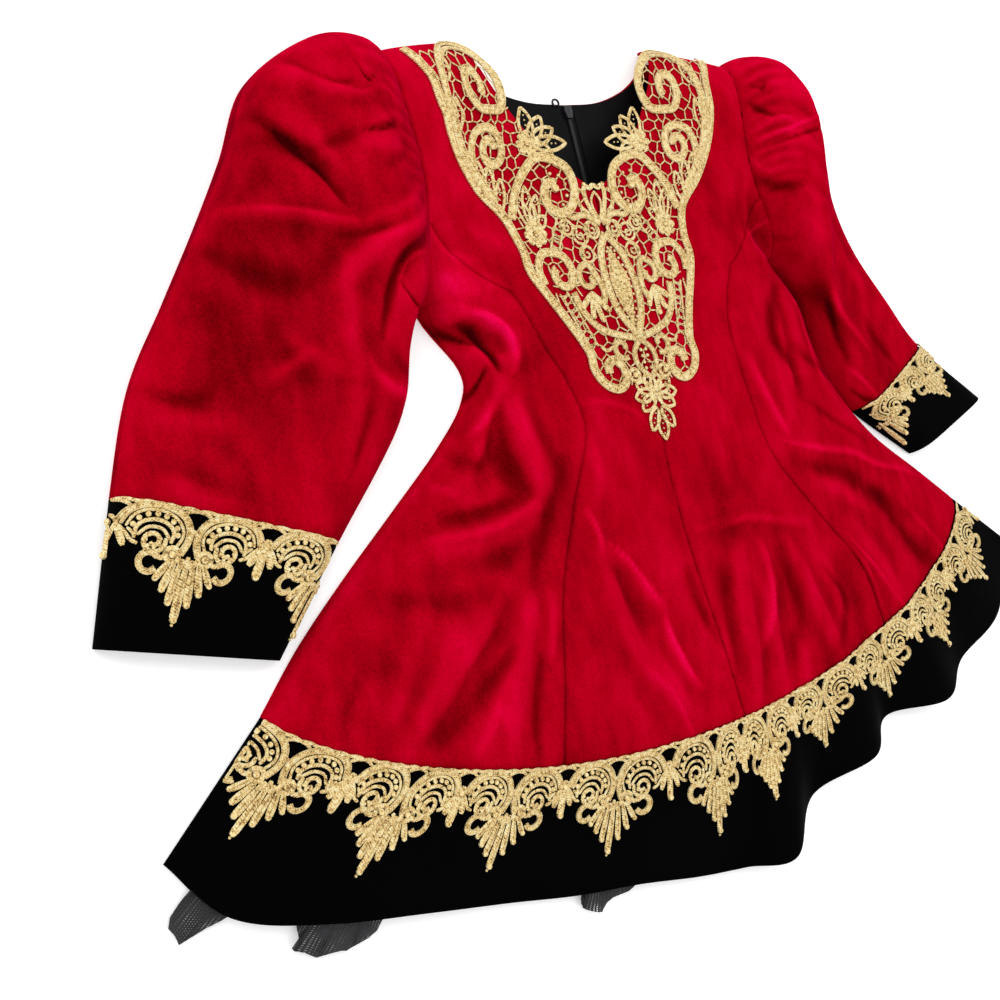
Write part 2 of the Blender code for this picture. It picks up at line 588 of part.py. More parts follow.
def add_front_panels(materials):
    places = body_places()
    for side, edge in (("left", -1.0), ("right", 1.0)):
        seams, inners = [], []
        split = SKIRT_ROWS + PRINCESS_TOP
        for place in places:
            seams.append(share_at(place, princess_x(place, side)))
            inners.append(neck_share(place, side))
        half_width = (smooth(BODY, "right_x", 3) - smooth(BODY, "left_x", 3)) / 2
        gap = SEAM_GAP / 2 / CM / half_width
        centre_rows = []
        for number, place in enumerate(places):
            start = seams[number] - gap * edge if number <= split else edge
            end = inners[number] + gap * edge
            shares = [mix(start, end, j / CENTRE_COLUMNS) for j in range(CENTRE_COLUMNS + 1)]
            centre_rows.append([(place, s) for s in shares])
        side_rows = []
        for number, place in enumerate(places[:split + 1]):
            end = seams[number] + gap * edge
            shares = [mix(edge, end, (j / SIDE_COLUMNS) ** 1.7) for j in range(SIDE_COLUMNS + 1)]
            side_rows.append([(place, s) for s in shares])
        for name, rows in (("centre_front_" + side, centre_rows), ("side_front_" + side, side_rows)):
            add_surface_wall(name, rows, body_point, (0.0, float(SHOULDER)), materials["red_velvet"])


def add_surface_wall(name, rows, surface, u_range, material):
    outer = [[surface(u, s) * CM for u, s in row] for row in rows]
    inner = [[inset(point, normal_at(surface, u, s, u_range)) for point, (u, s) in zip(points, row)]
             for points, row in zip(outer, rows)]
    return add_wall(name, outer, inner, material)


def inset(point, facing):
    # The wall's inner face, which stays above the flat back.
    inner = point - facing * VELVET
    if inner.z < FOLD_EDGE:
        flat = Vector((facing.x, facing.y, 0)).normalized()
        inner = point - flat * VELVET
        inner.z = FOLD_EDGE
    return inner


def add_hem_band(materials):
    seam_gap = SEAM_GAP / CM / BAND_DEPTH
    shares = [mix(2 * j / BAND_COLUMNS - 1, math.sin(math.pi * (j / BAND_COLUMNS - 0.5)), BAND_ENDS)
              for j in range(BAND_COLUMNS + 1)]
    outer, inner = [], []
    for i in range(BAND_ROWS + 1):
        down = mix(seam_gap, 1.0, i / BAND_ROWS)
        points = [band_point(down, s) * CM for s in shares]
        if i == 0:
            facing = [normal_at(body_point, 0.0, s, (0.0, float(SHOULDER))) for s in shares]
        else:
            facing = [normal_at(band_point, down, s, (0.0, 1.0)) for s in shares]
        outer.append(points)
        inner.append([inset(point, way) for point, way in zip(points, facing)])
    add_wall("hem_band_front", outer, inner, materials["black_velvet"])


def hem_seam_line(count):
    return [body_point(0.0, 2 * i / count - 1).xy for i in range(count + 1)]


def add_back(materials):
    # The back lies flat on the surface: two panels, with the zip between them, and a band.
    places = body_places()
    count = 24
    for side, edge, sign in (("left", -1.0, -1), ("right", 1.0, 1)):
        middle = CENTRE_BACK + sign * SEAM_GAP / 2 / CM
        lower = [body_point(place, edge).xy for place in places[:SKIRT_ROWS]]
        arm = [body_point(places[SKIRT_ROWS + j], edge).xy for j in range(0, ARMHOLE_ROWS + 1, UNDER_STEP)]
        neck = [(smooth(BACK_NECK, side + "_x", p / 2), smooth(BACK_NECK, "y", p / 2))
                for p in range(6, 0, -1)]
        seam = [point for point in hem_seam_line(count) if (point.x - middle) * sign > 0.5]
        if side == "right":
            seam.reverse()
        outline = ([(p.x, p.y) for p in lower[1:] + arm] + neck + [(middle, BACK_NECK[0]["y"])]
                   + [(middle, body_point(0.0, share_at(0.0, middle)).y)]
                   + [(p.x, p.y) for p in reversed(seam)])
        if side == "right":
            outline.reverse()
        add_plate("back_" + side, outline, 0.0, VELVET, materials["red_velvet"])
    gap = Vector((0, -SEAM_GAP / CM))
    top = [point + gap for point in hem_seam_line(count)]
    steps = len(HEM) - 1
    foot = [Vector((smooth(HEM, "x", i), smooth(HEM, "y", i))) for i in range(0, steps + 1, 2)]
    band = [(p.x, p.y) for p in reversed(top)] + [(p.x, p.y) for p in foot]
    add_plate("hem_band_back", band, 0.0, VELVET, materials["black_velvet"])


def sleeve_grid(side, places):
    # Rings round the sleeve: over its top from the inner edge to the outer, then back below it.
    outer, inner = [], []
    away = Vector((-1.0 if side == "left" else 1.0, 0, 0))
    surface = lambda u, s: sleeve_point(side, u, s)
    for place in places:
        top = [sleeve_point(side, place, s) * CM for s in ARM_STEPS]
        if place == 0.0:
            facing = [normal_at(body_point, UNDERARM + (s + 1) / 2 * (SHOULDER - UNDERARM), away.x,
                                (0.0, float(SHOULDER))) for s in ARM_STEPS]
            top = [point + away * SEAM_GAP for point in top]
        else:
            facing = [normal_at(surface, place, s, (0.0, float(CUFF_END))) for s in ARM_STEPS]
        top_inner = [point - way * VELVET for point, way in zip(top, facing)]
        under = [Vector((p.x, p.y, 0.0)) for p in reversed(top[::UNDER_STEP])]
        across = (top[-1] - top[0]).normalized()
        across.z = 0
        under_inner = [Vector((p.x, p.y, VELVET)) for p in under]
        under_inner[0] -= across * VELVET
        under_inner[-1] += across * VELVET
        top_inner[0] = Vector((under_inner[-1].x, under_inner[-1].y, FOLD_EDGE))
        top_inner[-1] = Vector((under_inner[0].x, under_inner[0].y, FOLD_EDGE))
        outer.append(top + under)
        inner.append(top_inner + under_inner)
    return outer, inner


def add_sleeves(materials):
    gap = SEAM_GAP / 2 / CM / 7
    for side in ("left", "right"):
        rings = [(CUFF_SEAM - gap) * (i / SLEEVE_RINGS) ** 1.15 for i in range(SLEEVE_RINGS + 1)]
        add_wall("sleeve_" + side, *sleeve_grid(side, rings), materials["red_velvet"], tube=True)
        rings = [mix(CUFF_SEAM + gap, CUFF_END, i / CUFF_RINGS) for i in range(CUFF_RINGS + 1)]
        add_wall("cuff_" + side, *sleeve_grid(side, rings), materials["black_velvet"], tube=True)


def add_lining_and_zip(materials):
    bottom = VELVET + SEAM_GAP
    for side, sign in (("left", -1), ("right", 1)):
        middle = CENTRE_BACK + sign * (TAPE_WIDTH / 2 + SEAM_GAP / CM)
        neck = [(smooth(BACK_NECK, side + "_x", p / 2) + sign * LINING_INSET,
                 smooth(BACK_NECK, "y", p / 2) - LINING_INSET) for p in range(1, 6)]
        outline = [(middle, LINING_FOOT), (middle, BACK_NECK[0]["y"] - LINING_INSET)] + neck
        outline += [(sign * LINING_SIDE, 27.0), (sign * LINING_SIDE, LINING_FOOT)]
        if side == "left":
            outline.reverse()
        add_plate("lining_" + side, outline, bottom, LINING, materials["black_lining"])
    half = TAPE_WIDTH / 2
    tape_top = BACK_NECK[0]["y"] - LINING_INSET
    tape = [(CENTRE_BACK - half, LINING_FOOT), (CENTRE_BACK + half, LINING_FOOT),
            (CENTRE_BACK + half, tape_top), (CENTRE_BACK - half, tape_top)]
    add_plate("zip_tape", tape, bottom, ZIP_TAPE, materials["black_lining"])
    coil = COIL_WIDTH / CM / 2
    coil_foot, coil_top = LINING_FOOT + COIL_START, tape_top - COIL_STOP
    coil_line = [(CENTRE_BACK - coil, coil_foot), (CENTRE_BACK + coil, coil_foot),
                 (CENTRE_BACK + coil, coil_top), (CENTRE_BACK - coil, coil_top)]
    add_plate("zip_coil", coil_line, bottom + ZIP_TAPE + SEAM_GAP, COIL_HEIGHT, materials["black_lining"])
    add_zip_slider(materials, tape_top, bottom + ZIP_TAPE + SEAM_GAP)
    add_neck_hook(materials, bottom + ZIP_TAPE + SEAM_GAP)


def add_zip_slider(materials, tape_top, bottom):
    middle = CENTRE_BACK
    shape = ((-0.20, -0.95), (0.20, -0.95), (0.34, -0.45), (0.30, -0.10), (-0.30, -0.10), (-0.34, -0.45))
    outline = [(middle + x, tape_top + y) for x, y in shape]
    add_plate("zip_slider", outline, bottom, ZIP_SLIDER, materials["dark_metal"])


def add_neck_hook(materials, bottom):
    # A bent wire hook, sewn beside the top of the zip, that reaches just past the neck edge.
    across, along = CENTRE_BACK * CM - HOOK_ASIDE, BACK_NECK[0]["y"] * CM + HOOK_REACH
    centre = Vector((across, along, bottom + HOOK_WIRE))
    bm = bmesh.new()
    sides, steps = 6, 14
    rings = []
    for i in range(steps + 1):
        turn = math.radians(mix(-60, 240, i / steps))
        way = Vector((math.cos(turn), math.sin(turn), 0))
        middle = centre + way * HOOK_RADIUS
        rings.append([middle + (way * math.cos(a) + Vector((0, 0, 1)) * math.sin(a)) * HOOK_WIRE
                      for a in (2 * math.pi * k / sides for k in range(sides))])
    verts = [[bm.verts.new(point) for point in ring] for ring in rings]
    for a, b in zip(verts, verts[1:]):
        for k in range(sides):
            bm.faces.new((a[k], a[(k + 1) % sides], b[(k + 1) % sides], b[k]))
    bm.faces.new(verts[0])
    bm.faces.new(verts[-1])
    finish("neck_hook", bm, materials["dark_metal"])


def add_net(materials):
    # The underskirt lies on the back band, and three corners of it reach past the hem.
    steps = len(HEM) - 1
    top = []
    for i in range(1, steps):
        seam = body_point(0.0, 2 * i / steps - 1).xy
        foot = Vector((smooth(HEM, "x", i), smooth(HEM, "y", i)))
        top.append(seam.lerp(foot, NET_TOP))
    foot_line = []
    corners = rows_of(NET_CORNERS, NET_COLUMNS)
    for i in range(2, 2 * steps - 1):
        place = i / 2
        seam = body_point(0.0, place / steps * 2 - 1).xy
        foot = Vector((smooth(HEM, "x", place), smooth(HEM, "y", place)))
        if not any(row["before"] - NET_CORNER_ROOM < place < row["after"] + NET_CORNER_ROOM
                   for row in corners):
            foot_line.append((place, foot + (seam - foot).normalized() * NET_INSET))
    for row in corners:
        third = (row["after"] - row["before"]) / 3
        for place, point in ((row["before"], None),
                             (row["before"] + third, Vector((row["first_x"], row["first_y"]))),
                             (row["after"] - third, Vector((row["second_x"], row["second_y"]))),
                             (row["after"], None)):
            if point is None:
                seam = body_point(0.0, place / steps * 2 - 1).xy
                foot = Vector((smooth(HEM, "x", place), smooth(HEM, "y", place)))
                point = foot + (seam - foot).normalized() * NET_CORNER_INSET
            foot_line.append((place, point))
    foot_line.sort(key=lambda item: item[0])
    outline = [(p.x, p.y) for p in reversed(top)] + [(p.x, p.y) for _, p in foot_line]
    add_plate("net_underskirt", outline, VELVET + SEAM_GAP, NET, materials["black_net"])


def edging_strip(halves, start_cut=0.0):
    # Outline and holes of a strip of lace: an out half runs from a pendant to the next drop and
    # an in half from a drop to the next pendant. start_cut is what is left of the half before.
    top, foot, holes = [], [], []
    position = 0.0
    for number, kind in enumerate(halves):
        flip = kind == "in"
        base, way = (position + REPEAT / 2, -1) if flip else (position, 1)
        order = reversed if flip else list
        skip = 1 if number else 0
        top.extend([(base + way * a, b) for a, b in order(EDGING_TOP)][skip:])
        foot.extend([(base + way * a, b) for a, b in order(EDGING_FOOT)][skip:])
        holes.append([(base + way * a, b) for a, b in EDGING_EYE])
        holes.append([(base + way * a, b) for a, b in EDGING_LOOP])
        if number and kind == "out":
            holes.append([(position + a, b) for a, b in EDGING_DIAMOND])
            holes.append([(position + a, b) for a, b in EDGING_NOTCH])
        position += REPEAT / 2
    if start_cut:
        top = [(-start_cut, 0.1)] + top
        foot = [(-start_cut, 3.8), (-start_cut * 0.66, 4.5), (-start_cut * 0.35, 5.2)] + foot
    return foot + list(reversed(top)), holes, position


def add_edging(materials):
    # On the hem, with part of a repeat past the first pendant and half of one past the last.
    pendants = rows_of(HEM_PENDANTS, PENDANT_COLUMNS)
    outline, holes, _ = edging_strip(["out", "in"] * (len(pendants) - 1) + ["out"], HEM_END)

    def on_hem(point):
        s = smooth(pendants, "across", point.x / REPEAT)
        place = (s + 1) / 2 * (len(HEM) - 1)
        foot = Vector((smooth(HEM, "x", place), smooth(HEM, "y", place)))
        depth = (foot - body_point(0.0, s).xy).length
        reach = min(1.0, point.y / EDGING_DEPTH) * smooth(pendants, "reach", point.x / REPEAT)
        down = (reach + EDGING_START) / depth
        return band_point(down, s), normal_at(band_point, down, s, (0.0, 1.0))

    add_lace("hem_edging", outline, holes, on_hem, materials["gold_lace"])

    for side in ("left", "right"):
        rows = SLEEVES[side]
        outline, holes, run = edging_strip(["in", "out", "in"])
        seam = Vector((rows[CUFF_SEAM]["outer_x"] - rows[CUFF_SEAM]["inner_x"],
                       rows[CUFF_SEAM]["outer_y"] - rows[CUFF_SEAM]["inner_y"])).length
        scale = min(1.0, seam * CUFF_LACE_START / run)

        def on_cuff(point, side=side, seam=seam, scale=scale):
            s = CUFF_LACE_START - 2 * point.x * scale / seam
            depth = (sleeve_point(side, CUFF_END, s) - sleeve_point(side, CUFF_SEAM, s)).length
            place = CUFF_SEAM + (point.y * 0.97 + EDGING_START) / depth
            surface = lambda u, v: sleeve_point(side, u, v)
            return sleeve_point(side, place, s), normal_at(surface, place, s, (0.0, float(CUFF_END)))

        add_lace("cuff_edging_" + side, outline, holes, on_cuff, materials["gold_lace"])


def ellipse(x, y, long, wide, turn):
    angle = math.radians(turn)
    points = []
    for k in range(WINDOW_POINTS):
        t = 2 * math.pi * k / WINDOW_POINTS
        a, b = long / 2 * math.cos(t), wide / 2 * math.sin(t)
        points.append((x + a * math.cos(angle) - b * math.sin(angle),
                       y + a * math.sin(angle) + b * math.cos(angle)))
    return points


def add_neck_piece(materials):
    half = NECK_INNER + NECK_OUTER
    outline = list(half) + [NECK_TIP] + [(-x, y) for x, y in reversed(half[1:])]
    holes = [ellipse(*CROWN_DROP)]
    for x, y, long, wide, turn in NECK_WINDOWS.values():
        right = ellipse(x, y, long, wide, turn)
        holes.append(right)
        holes.append([(-a, b) for a, b in reversed(right)])

    def on_front(point):
        x = point.x + smooth(NECK_LINE, "x", place_of(NECK_LINE, "y", point.y))
        place = UNDERARM / 2
        for _ in range(30):
            s = share_at(place, x)
            error = point.y - body_point(place, s).y
            place = min(max(place + error / 3.9, 0.0), SHOULDER - 0.02)
        return body_point(place, s), normal_at(body_point, place, s, (0.0, float(SHOULDER)))

    add_lace("neck_lace", outline, holes, on_front, materials["gold_lace"])


def build():
    clear_scene()
    materials = make_materials()
    add_front_panels(materials)
    add_back(materials)
    add_sleeves(materials)
    add_hem_band(materials)
    add_lining_and_zip(materials)
    add_net(materials)
    add_edging(materials)
    add_neck_piece(materials)


build()
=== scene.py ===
import json
import math

import bpy
import numpy as np
from mathutils import Matrix, Vector

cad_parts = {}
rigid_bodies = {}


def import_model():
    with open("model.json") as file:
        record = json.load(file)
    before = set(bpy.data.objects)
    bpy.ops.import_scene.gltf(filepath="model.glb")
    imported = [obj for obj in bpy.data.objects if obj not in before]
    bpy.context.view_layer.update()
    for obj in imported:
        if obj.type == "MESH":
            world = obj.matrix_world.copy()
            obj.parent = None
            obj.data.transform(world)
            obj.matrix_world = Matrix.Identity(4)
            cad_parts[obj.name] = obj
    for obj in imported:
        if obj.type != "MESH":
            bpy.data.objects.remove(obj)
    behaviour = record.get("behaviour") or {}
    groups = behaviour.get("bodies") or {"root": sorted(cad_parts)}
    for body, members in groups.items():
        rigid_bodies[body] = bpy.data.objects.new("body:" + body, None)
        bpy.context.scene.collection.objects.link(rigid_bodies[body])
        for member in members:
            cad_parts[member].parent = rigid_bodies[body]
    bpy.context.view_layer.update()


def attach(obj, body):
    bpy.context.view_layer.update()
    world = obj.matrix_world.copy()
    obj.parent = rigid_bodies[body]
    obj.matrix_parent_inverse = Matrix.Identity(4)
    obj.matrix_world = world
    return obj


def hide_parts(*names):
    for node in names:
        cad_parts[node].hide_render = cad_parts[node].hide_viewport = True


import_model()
print("frame loaded")

# The dress lies on its back: x across it, y from hem to neck, z up. The tables are in
# centimetres, and toFrame moves them to the frame's own middle.
toFrame = np.array([0.0020, -0.0054, 0.0])
cm = 0.01
cloth = {"velvet": 0.0016, "seamGap": 0.0003, "edge": 0.19, "crown": 6}
seamGap = cloth["seamGap"] / cm

bodyColumns = ("leftX", "leftY", "rightX", "rightY", "arch", "height", "leftSeam", "centre", "rightSeam")
bodySections = {
    "hemSeam": (-30.8, -8.1, 31.6, -8.6, -9.7, 2.0, -13.9, 1.3, 17.5),
    "skirtLow": (-27.9, -5.2, 27.8, -5.4, -7.6, 2.4, -12.7, 0.6, 16.0),
    "skirtHigh": (-24.4, -2.3, 23.6, -2.0, -4.8, 2.6, -11.3, -0.3, 12.3),
    "hip": (-20.2, 0.9, 20.9, 1.1, -2.6, 2.6, -8.9, -0.6, 9.4),
    "belowWaist": (-16.2, 4.0, 19.1, 4.1, -1.1, 2.6, -6.6, -0.3, 8.6),
    "waist": (-13.7, 6.5, 18.4, 6.8, -0.3, 2.5, -7.0, -0.5, 8.4),
    "aboveWaist": (-13.3, 8.6, 17.9, 9.4, 0.0, 2.6, -8.1, -0.7, 8.4),
    "underarm": (-15.4, 12.5, 15.7, 12.8, 0.0, 2.7, -9.7, -0.9, 10.0),
    "armLow": (-14.3, 16.4, 14.9, 16.4, 0.0, 2.6, -12.8, -1.0, 13.3),
    "armMiddle": (-13.6, 20.4, 14.7, 20.3, 0.1, 2.4, -13.5, -0.8, 14.6),
    "armHigh": (-13.7, 24.5, 15.2, 24.2, 0.6, 2.2, -13.6, -0.4, 15.1),
    "shoulder": (-14.0, 28.7, 15.8, 28.2, 1.3, 2.2, -13.9, 0.1, 15.7),
}
underarm, shoulder = 7, 11
armholeHeight = {"left": 2.2, "right": 2.5}

neckColumns = ("y", "leftX", "rightX")
frontNeckline = {
    "point": (18.6, -0.9, -0.7),
    "lower": (21.0, -3.9, 2.9),
    "middle": (23.8, -5.9, 5.1),
    "upper": (26.4, -7.2, 6.9),
    "shoulder": (29.6, -8.3, 8.4),
}
backNeckline = {
    "middle": (25.5, 0.3, 0.3),
    "inner": (25.7, -3.0, 3.4),
    "outer": (26.8, -6.2, 6.4),
    "shoulder": (28.6, -8.3, 8.7),
}
centreBack = 0.3

sleeveColumns = ("outerX", "outerY", "innerX", "innerY", "height")
sleeveSections = {
    "left": {
        "armhole": (-14.0, 28.7, -15.4, 12.5, 2.2),
        "gather": (-15.9, 29.2, -16.0, 12.1, 4.2),
        "cap": (-19.3, 28.8, -16.8, 11.5, 5.4),
        "puff": (-23.2, 26.4, -17.4, 10.3, 5.2),
        "upperArm": (-25.6, 22.2, -17.7, 9.1, 4.4),
        "bicep": (-28.1, 18.3, -18.0, 7.4, 3.7),
        "elbow": (-30.7, 14.5, -19.0, 5.5, 3.2),
        "forearm": (-33.6, 10.2, -21.0, 3.2, 2.8),
        "cuffSeam": (-35.8, 4.8, -24.3, -0.2, 2.3),
        "cuffEnd": (-38.3, -2.3, -29.1, -5.5, 1.5),
    },
    "right": {
        "armhole": (15.8, 28.2, 15.7, 12.8, 2.5),
        "gather": (17.4, 28.8, 16.2, 12.5, 4.0),
        "cap": (19.5, 28.2, 16.9, 11.8, 5.0),
        "puff": (21.2, 25.4, 17.7, 10.7, 5.0),
        "upperArm": (21.6, 21.6, 18.3, 9.4, 4.3),
        "bicep": (22.2, 17.8, 18.5, 7.7, 3.6),
        "elbow": (24.2, 13.4, 18.9, 5.6, 3.0),
        "forearm": (27.2, 8.8, 19.8, 3.2, 2.8),
        "cuffSeam": (30.5, 4.6, 21.8, 0.4, 2.4),
        "cuffEnd": (37.9, -0.9, 27.6, -4.1, 1.6),
    },
}
cuffSeam, cuffEnd = 8, 9

hemColumns = ("x", "y", "lift")
hemEdge = {
    "leftCorner": (-37.4, -13.6, 0.6),
    "leftTurn": (-35.0, -17.2, 1.3),
    "leftNet": (-30.2, -19.5, 1.1),
    "leftFlute": (-24.6, -21.2, 1.2),
    "leftMiddle": (-19.2, -22.9, 0.7),
    "leftDip": (-14.6, -24.3, 0.8),
    "innerFlute": (-9.9, -25.4, 1.1),
    "innerDip": (-5.0, -26.9, 0.8),
    "middle": (-0.8, -27.9, 0.8),
    "firstCrest": (2.6, -28.3, 2.2),
    "firstDip": (7.0, -25.6, 0.7),
    "secondCrest": (12.6, -24.6, 2.2),
    "secondDip": (16.6, -22.8, 0.7),
    "thirdCrest": (22.6, -23.3, 2.0),
    "thirdDip": (27.2, -21.3, 0.7),
    "rightTurn": (33.4, -19.0, 0.9),
    "rightCorner": (37.6, -13.6, 0.2),
}

# Soft ridges, and troughs where rise is negative.
foldColumns = ("fromX", "fromY", "toX", "toY", "bend", "width", "rise")
folds = {
    "body": {
        "armholeDrag": (-14.0, 17.6, -7.4, 13.6, 0.4, 0.8, 0.25),
        "armholeHollow": (-14.6, 15.8, -8.6, 11.8, 0.3, 0.8, -0.25),
        "underarmPinch": (-16.4, 10.8, -10.4, 8.6, 0.4, 0.9, -0.99),
        "underarmTongue": (-14.4, 12.4, -10.6, 10.2, -0.3, 0.8, 0.21),
        "sideHollow": (-12.2, 6.8, -15.6, 0.6, 0.9, 1.3, -0.75),
        "sideRoll": (-12.6, 7.8, -14.6, 4.8, 0.0, 0.8, 0.21),
        "waistRoll": (-10.2, 10.6, -11.4, -1.6, -0.8, 1.0, 0.55),
        "waistDrag": (-10.8, -1.0, -23.4, -1.6, 0.6, 0.9, 0.36),
        "underDrag": (-11.8, -2.6, -22.0, -3.4, 0.4, 0.9, -0.20),
        "leftSkirtRidge": (-20.4, -3.4, -24.2, -10.6, 0.3, 1.0, 0.30),
        "leftSkirtTrough": (-14.8, -5.4, -22.8, -13.0, 0.4, 1.2, -0.40),
        "leftFlute": (-13.2, -5.4, -18.4, -15.4, 0.0, 1.2, 0.30),
        "frontRidge": (-8.0, -3.4, -2.4, -18.0, -1.3, 0.9, 0.45),
        "frontTrough": (-6.0, -5.4, -5.0, -18.4, -0.9, 1.2, -0.25),
        "hipRidge": (-4.4, -2.2, 11.6, -5.6, 0.0, 0.9, 0.07),
        "middleFlute": (3.6, -6.2, 2.2, -18.4, 0.2, 1.0, 0.54),
        "middleTrough": (6.4, -8.4, 7.0, -18.6, 0.0, 1.4, -0.40),
        "secondFlute": (8.6, -6.6, 12.0, -18.2, 0.0, 1.2, 0.35),
        "secondTrough": (13.0, -8.6, 16.0, -18.0, 0.0, 1.2, -0.35),
        "thirdFlute": (15.2, -7.2, 21.0, -16.6, 0.2, 1.1, 0.35),
        "thirdTrough": (18.6, -5.4, 25.4, -14.6, 0.3, 1.1, -0.35),
        "rightWaistFold": (11.2, 15.8, 16.8, 9.4, 0.5, 0.9, 0.24),
        "rightHollow": (14.0, 11.8, 13.8, 1.6, 0.7, 1.1, -0.45),
        "rightSideRidge": (15.6, 7.4, 21.2, -1.8, -0.4, 0.9, 0.20),
    },
    "left": {
        "capRidge": (-16.4, 25.6, -23.6, 25.4, 0.4, 0.8, 0.20),
        "capCrease": (-16.4, 24.6, -21.0, 23.2, 0.2, 0.6, -0.16),
        "puckerHigh": (-15.4, 26.9, -18.2, 26.6, 0.0, 0.5, 0.12),
        "puckerMiddle": (-15.2, 23.4, -19.0, 21.6, 0.0, 0.6, 0.14),
        "puckerLow": (-15.0, 21.4, -18.6, 19.6, 0.0, 0.5, -0.14),
        "longCrease": (-25.4, 22.8, -19.6, 16.8, 0.5, 1.0, -0.28),
        "elbowRidge": (-28.4, 18.4, -20.0, 17.6, 0.4, 1.1, 0.25),
        "dragRidge": (-15.6, 18.0, -21.6, 13.6, 0.3, 0.9, 0.24),
        "dragTrough": (-15.8, 16.2, -19.8, 12.2, 0.3, 0.8, -0.28),
        "underarmLoop": (-16.0, 14.0, -18.6, 11.0, 0.4, 0.6, 0.20),
        "forearmRidge": (-25.6, 11.8, -23.0, 8.6, 0.0, 1.1, 0.12),
        "forearmCrease": (-33.0, 8.0, -28.0, 3.6, 0.5, 0.9, -0.12),
        "innerRidge": (-20.8, 10.2, -23.0, 4.4, -0.4, 0.9, 0.16),
    },
    "right": {
        "capRidge": (17.0, 25.8, 21.0, 23.8, 0.2, 0.7, 0.16),
        "capCrease": (16.6, 24.2, 20.6, 21.6, 0.2, 0.6, -0.16),
        "puckerLow": (16.2, 22.0, 19.6, 19.6, 0.0, 0.6, 0.12),
        "armTrough": (17.0, 18.6, 21.6, 13.0, 0.3, 0.9, -0.16),
        "armRidge": (19.0, 16.6, 23.6, 8.6, 0.2, 0.9, 0.12),
        "forearmFold": (22.0, 9.0, 25.6, 4.0, 0.0, 0.9, 0.12),
    },
}

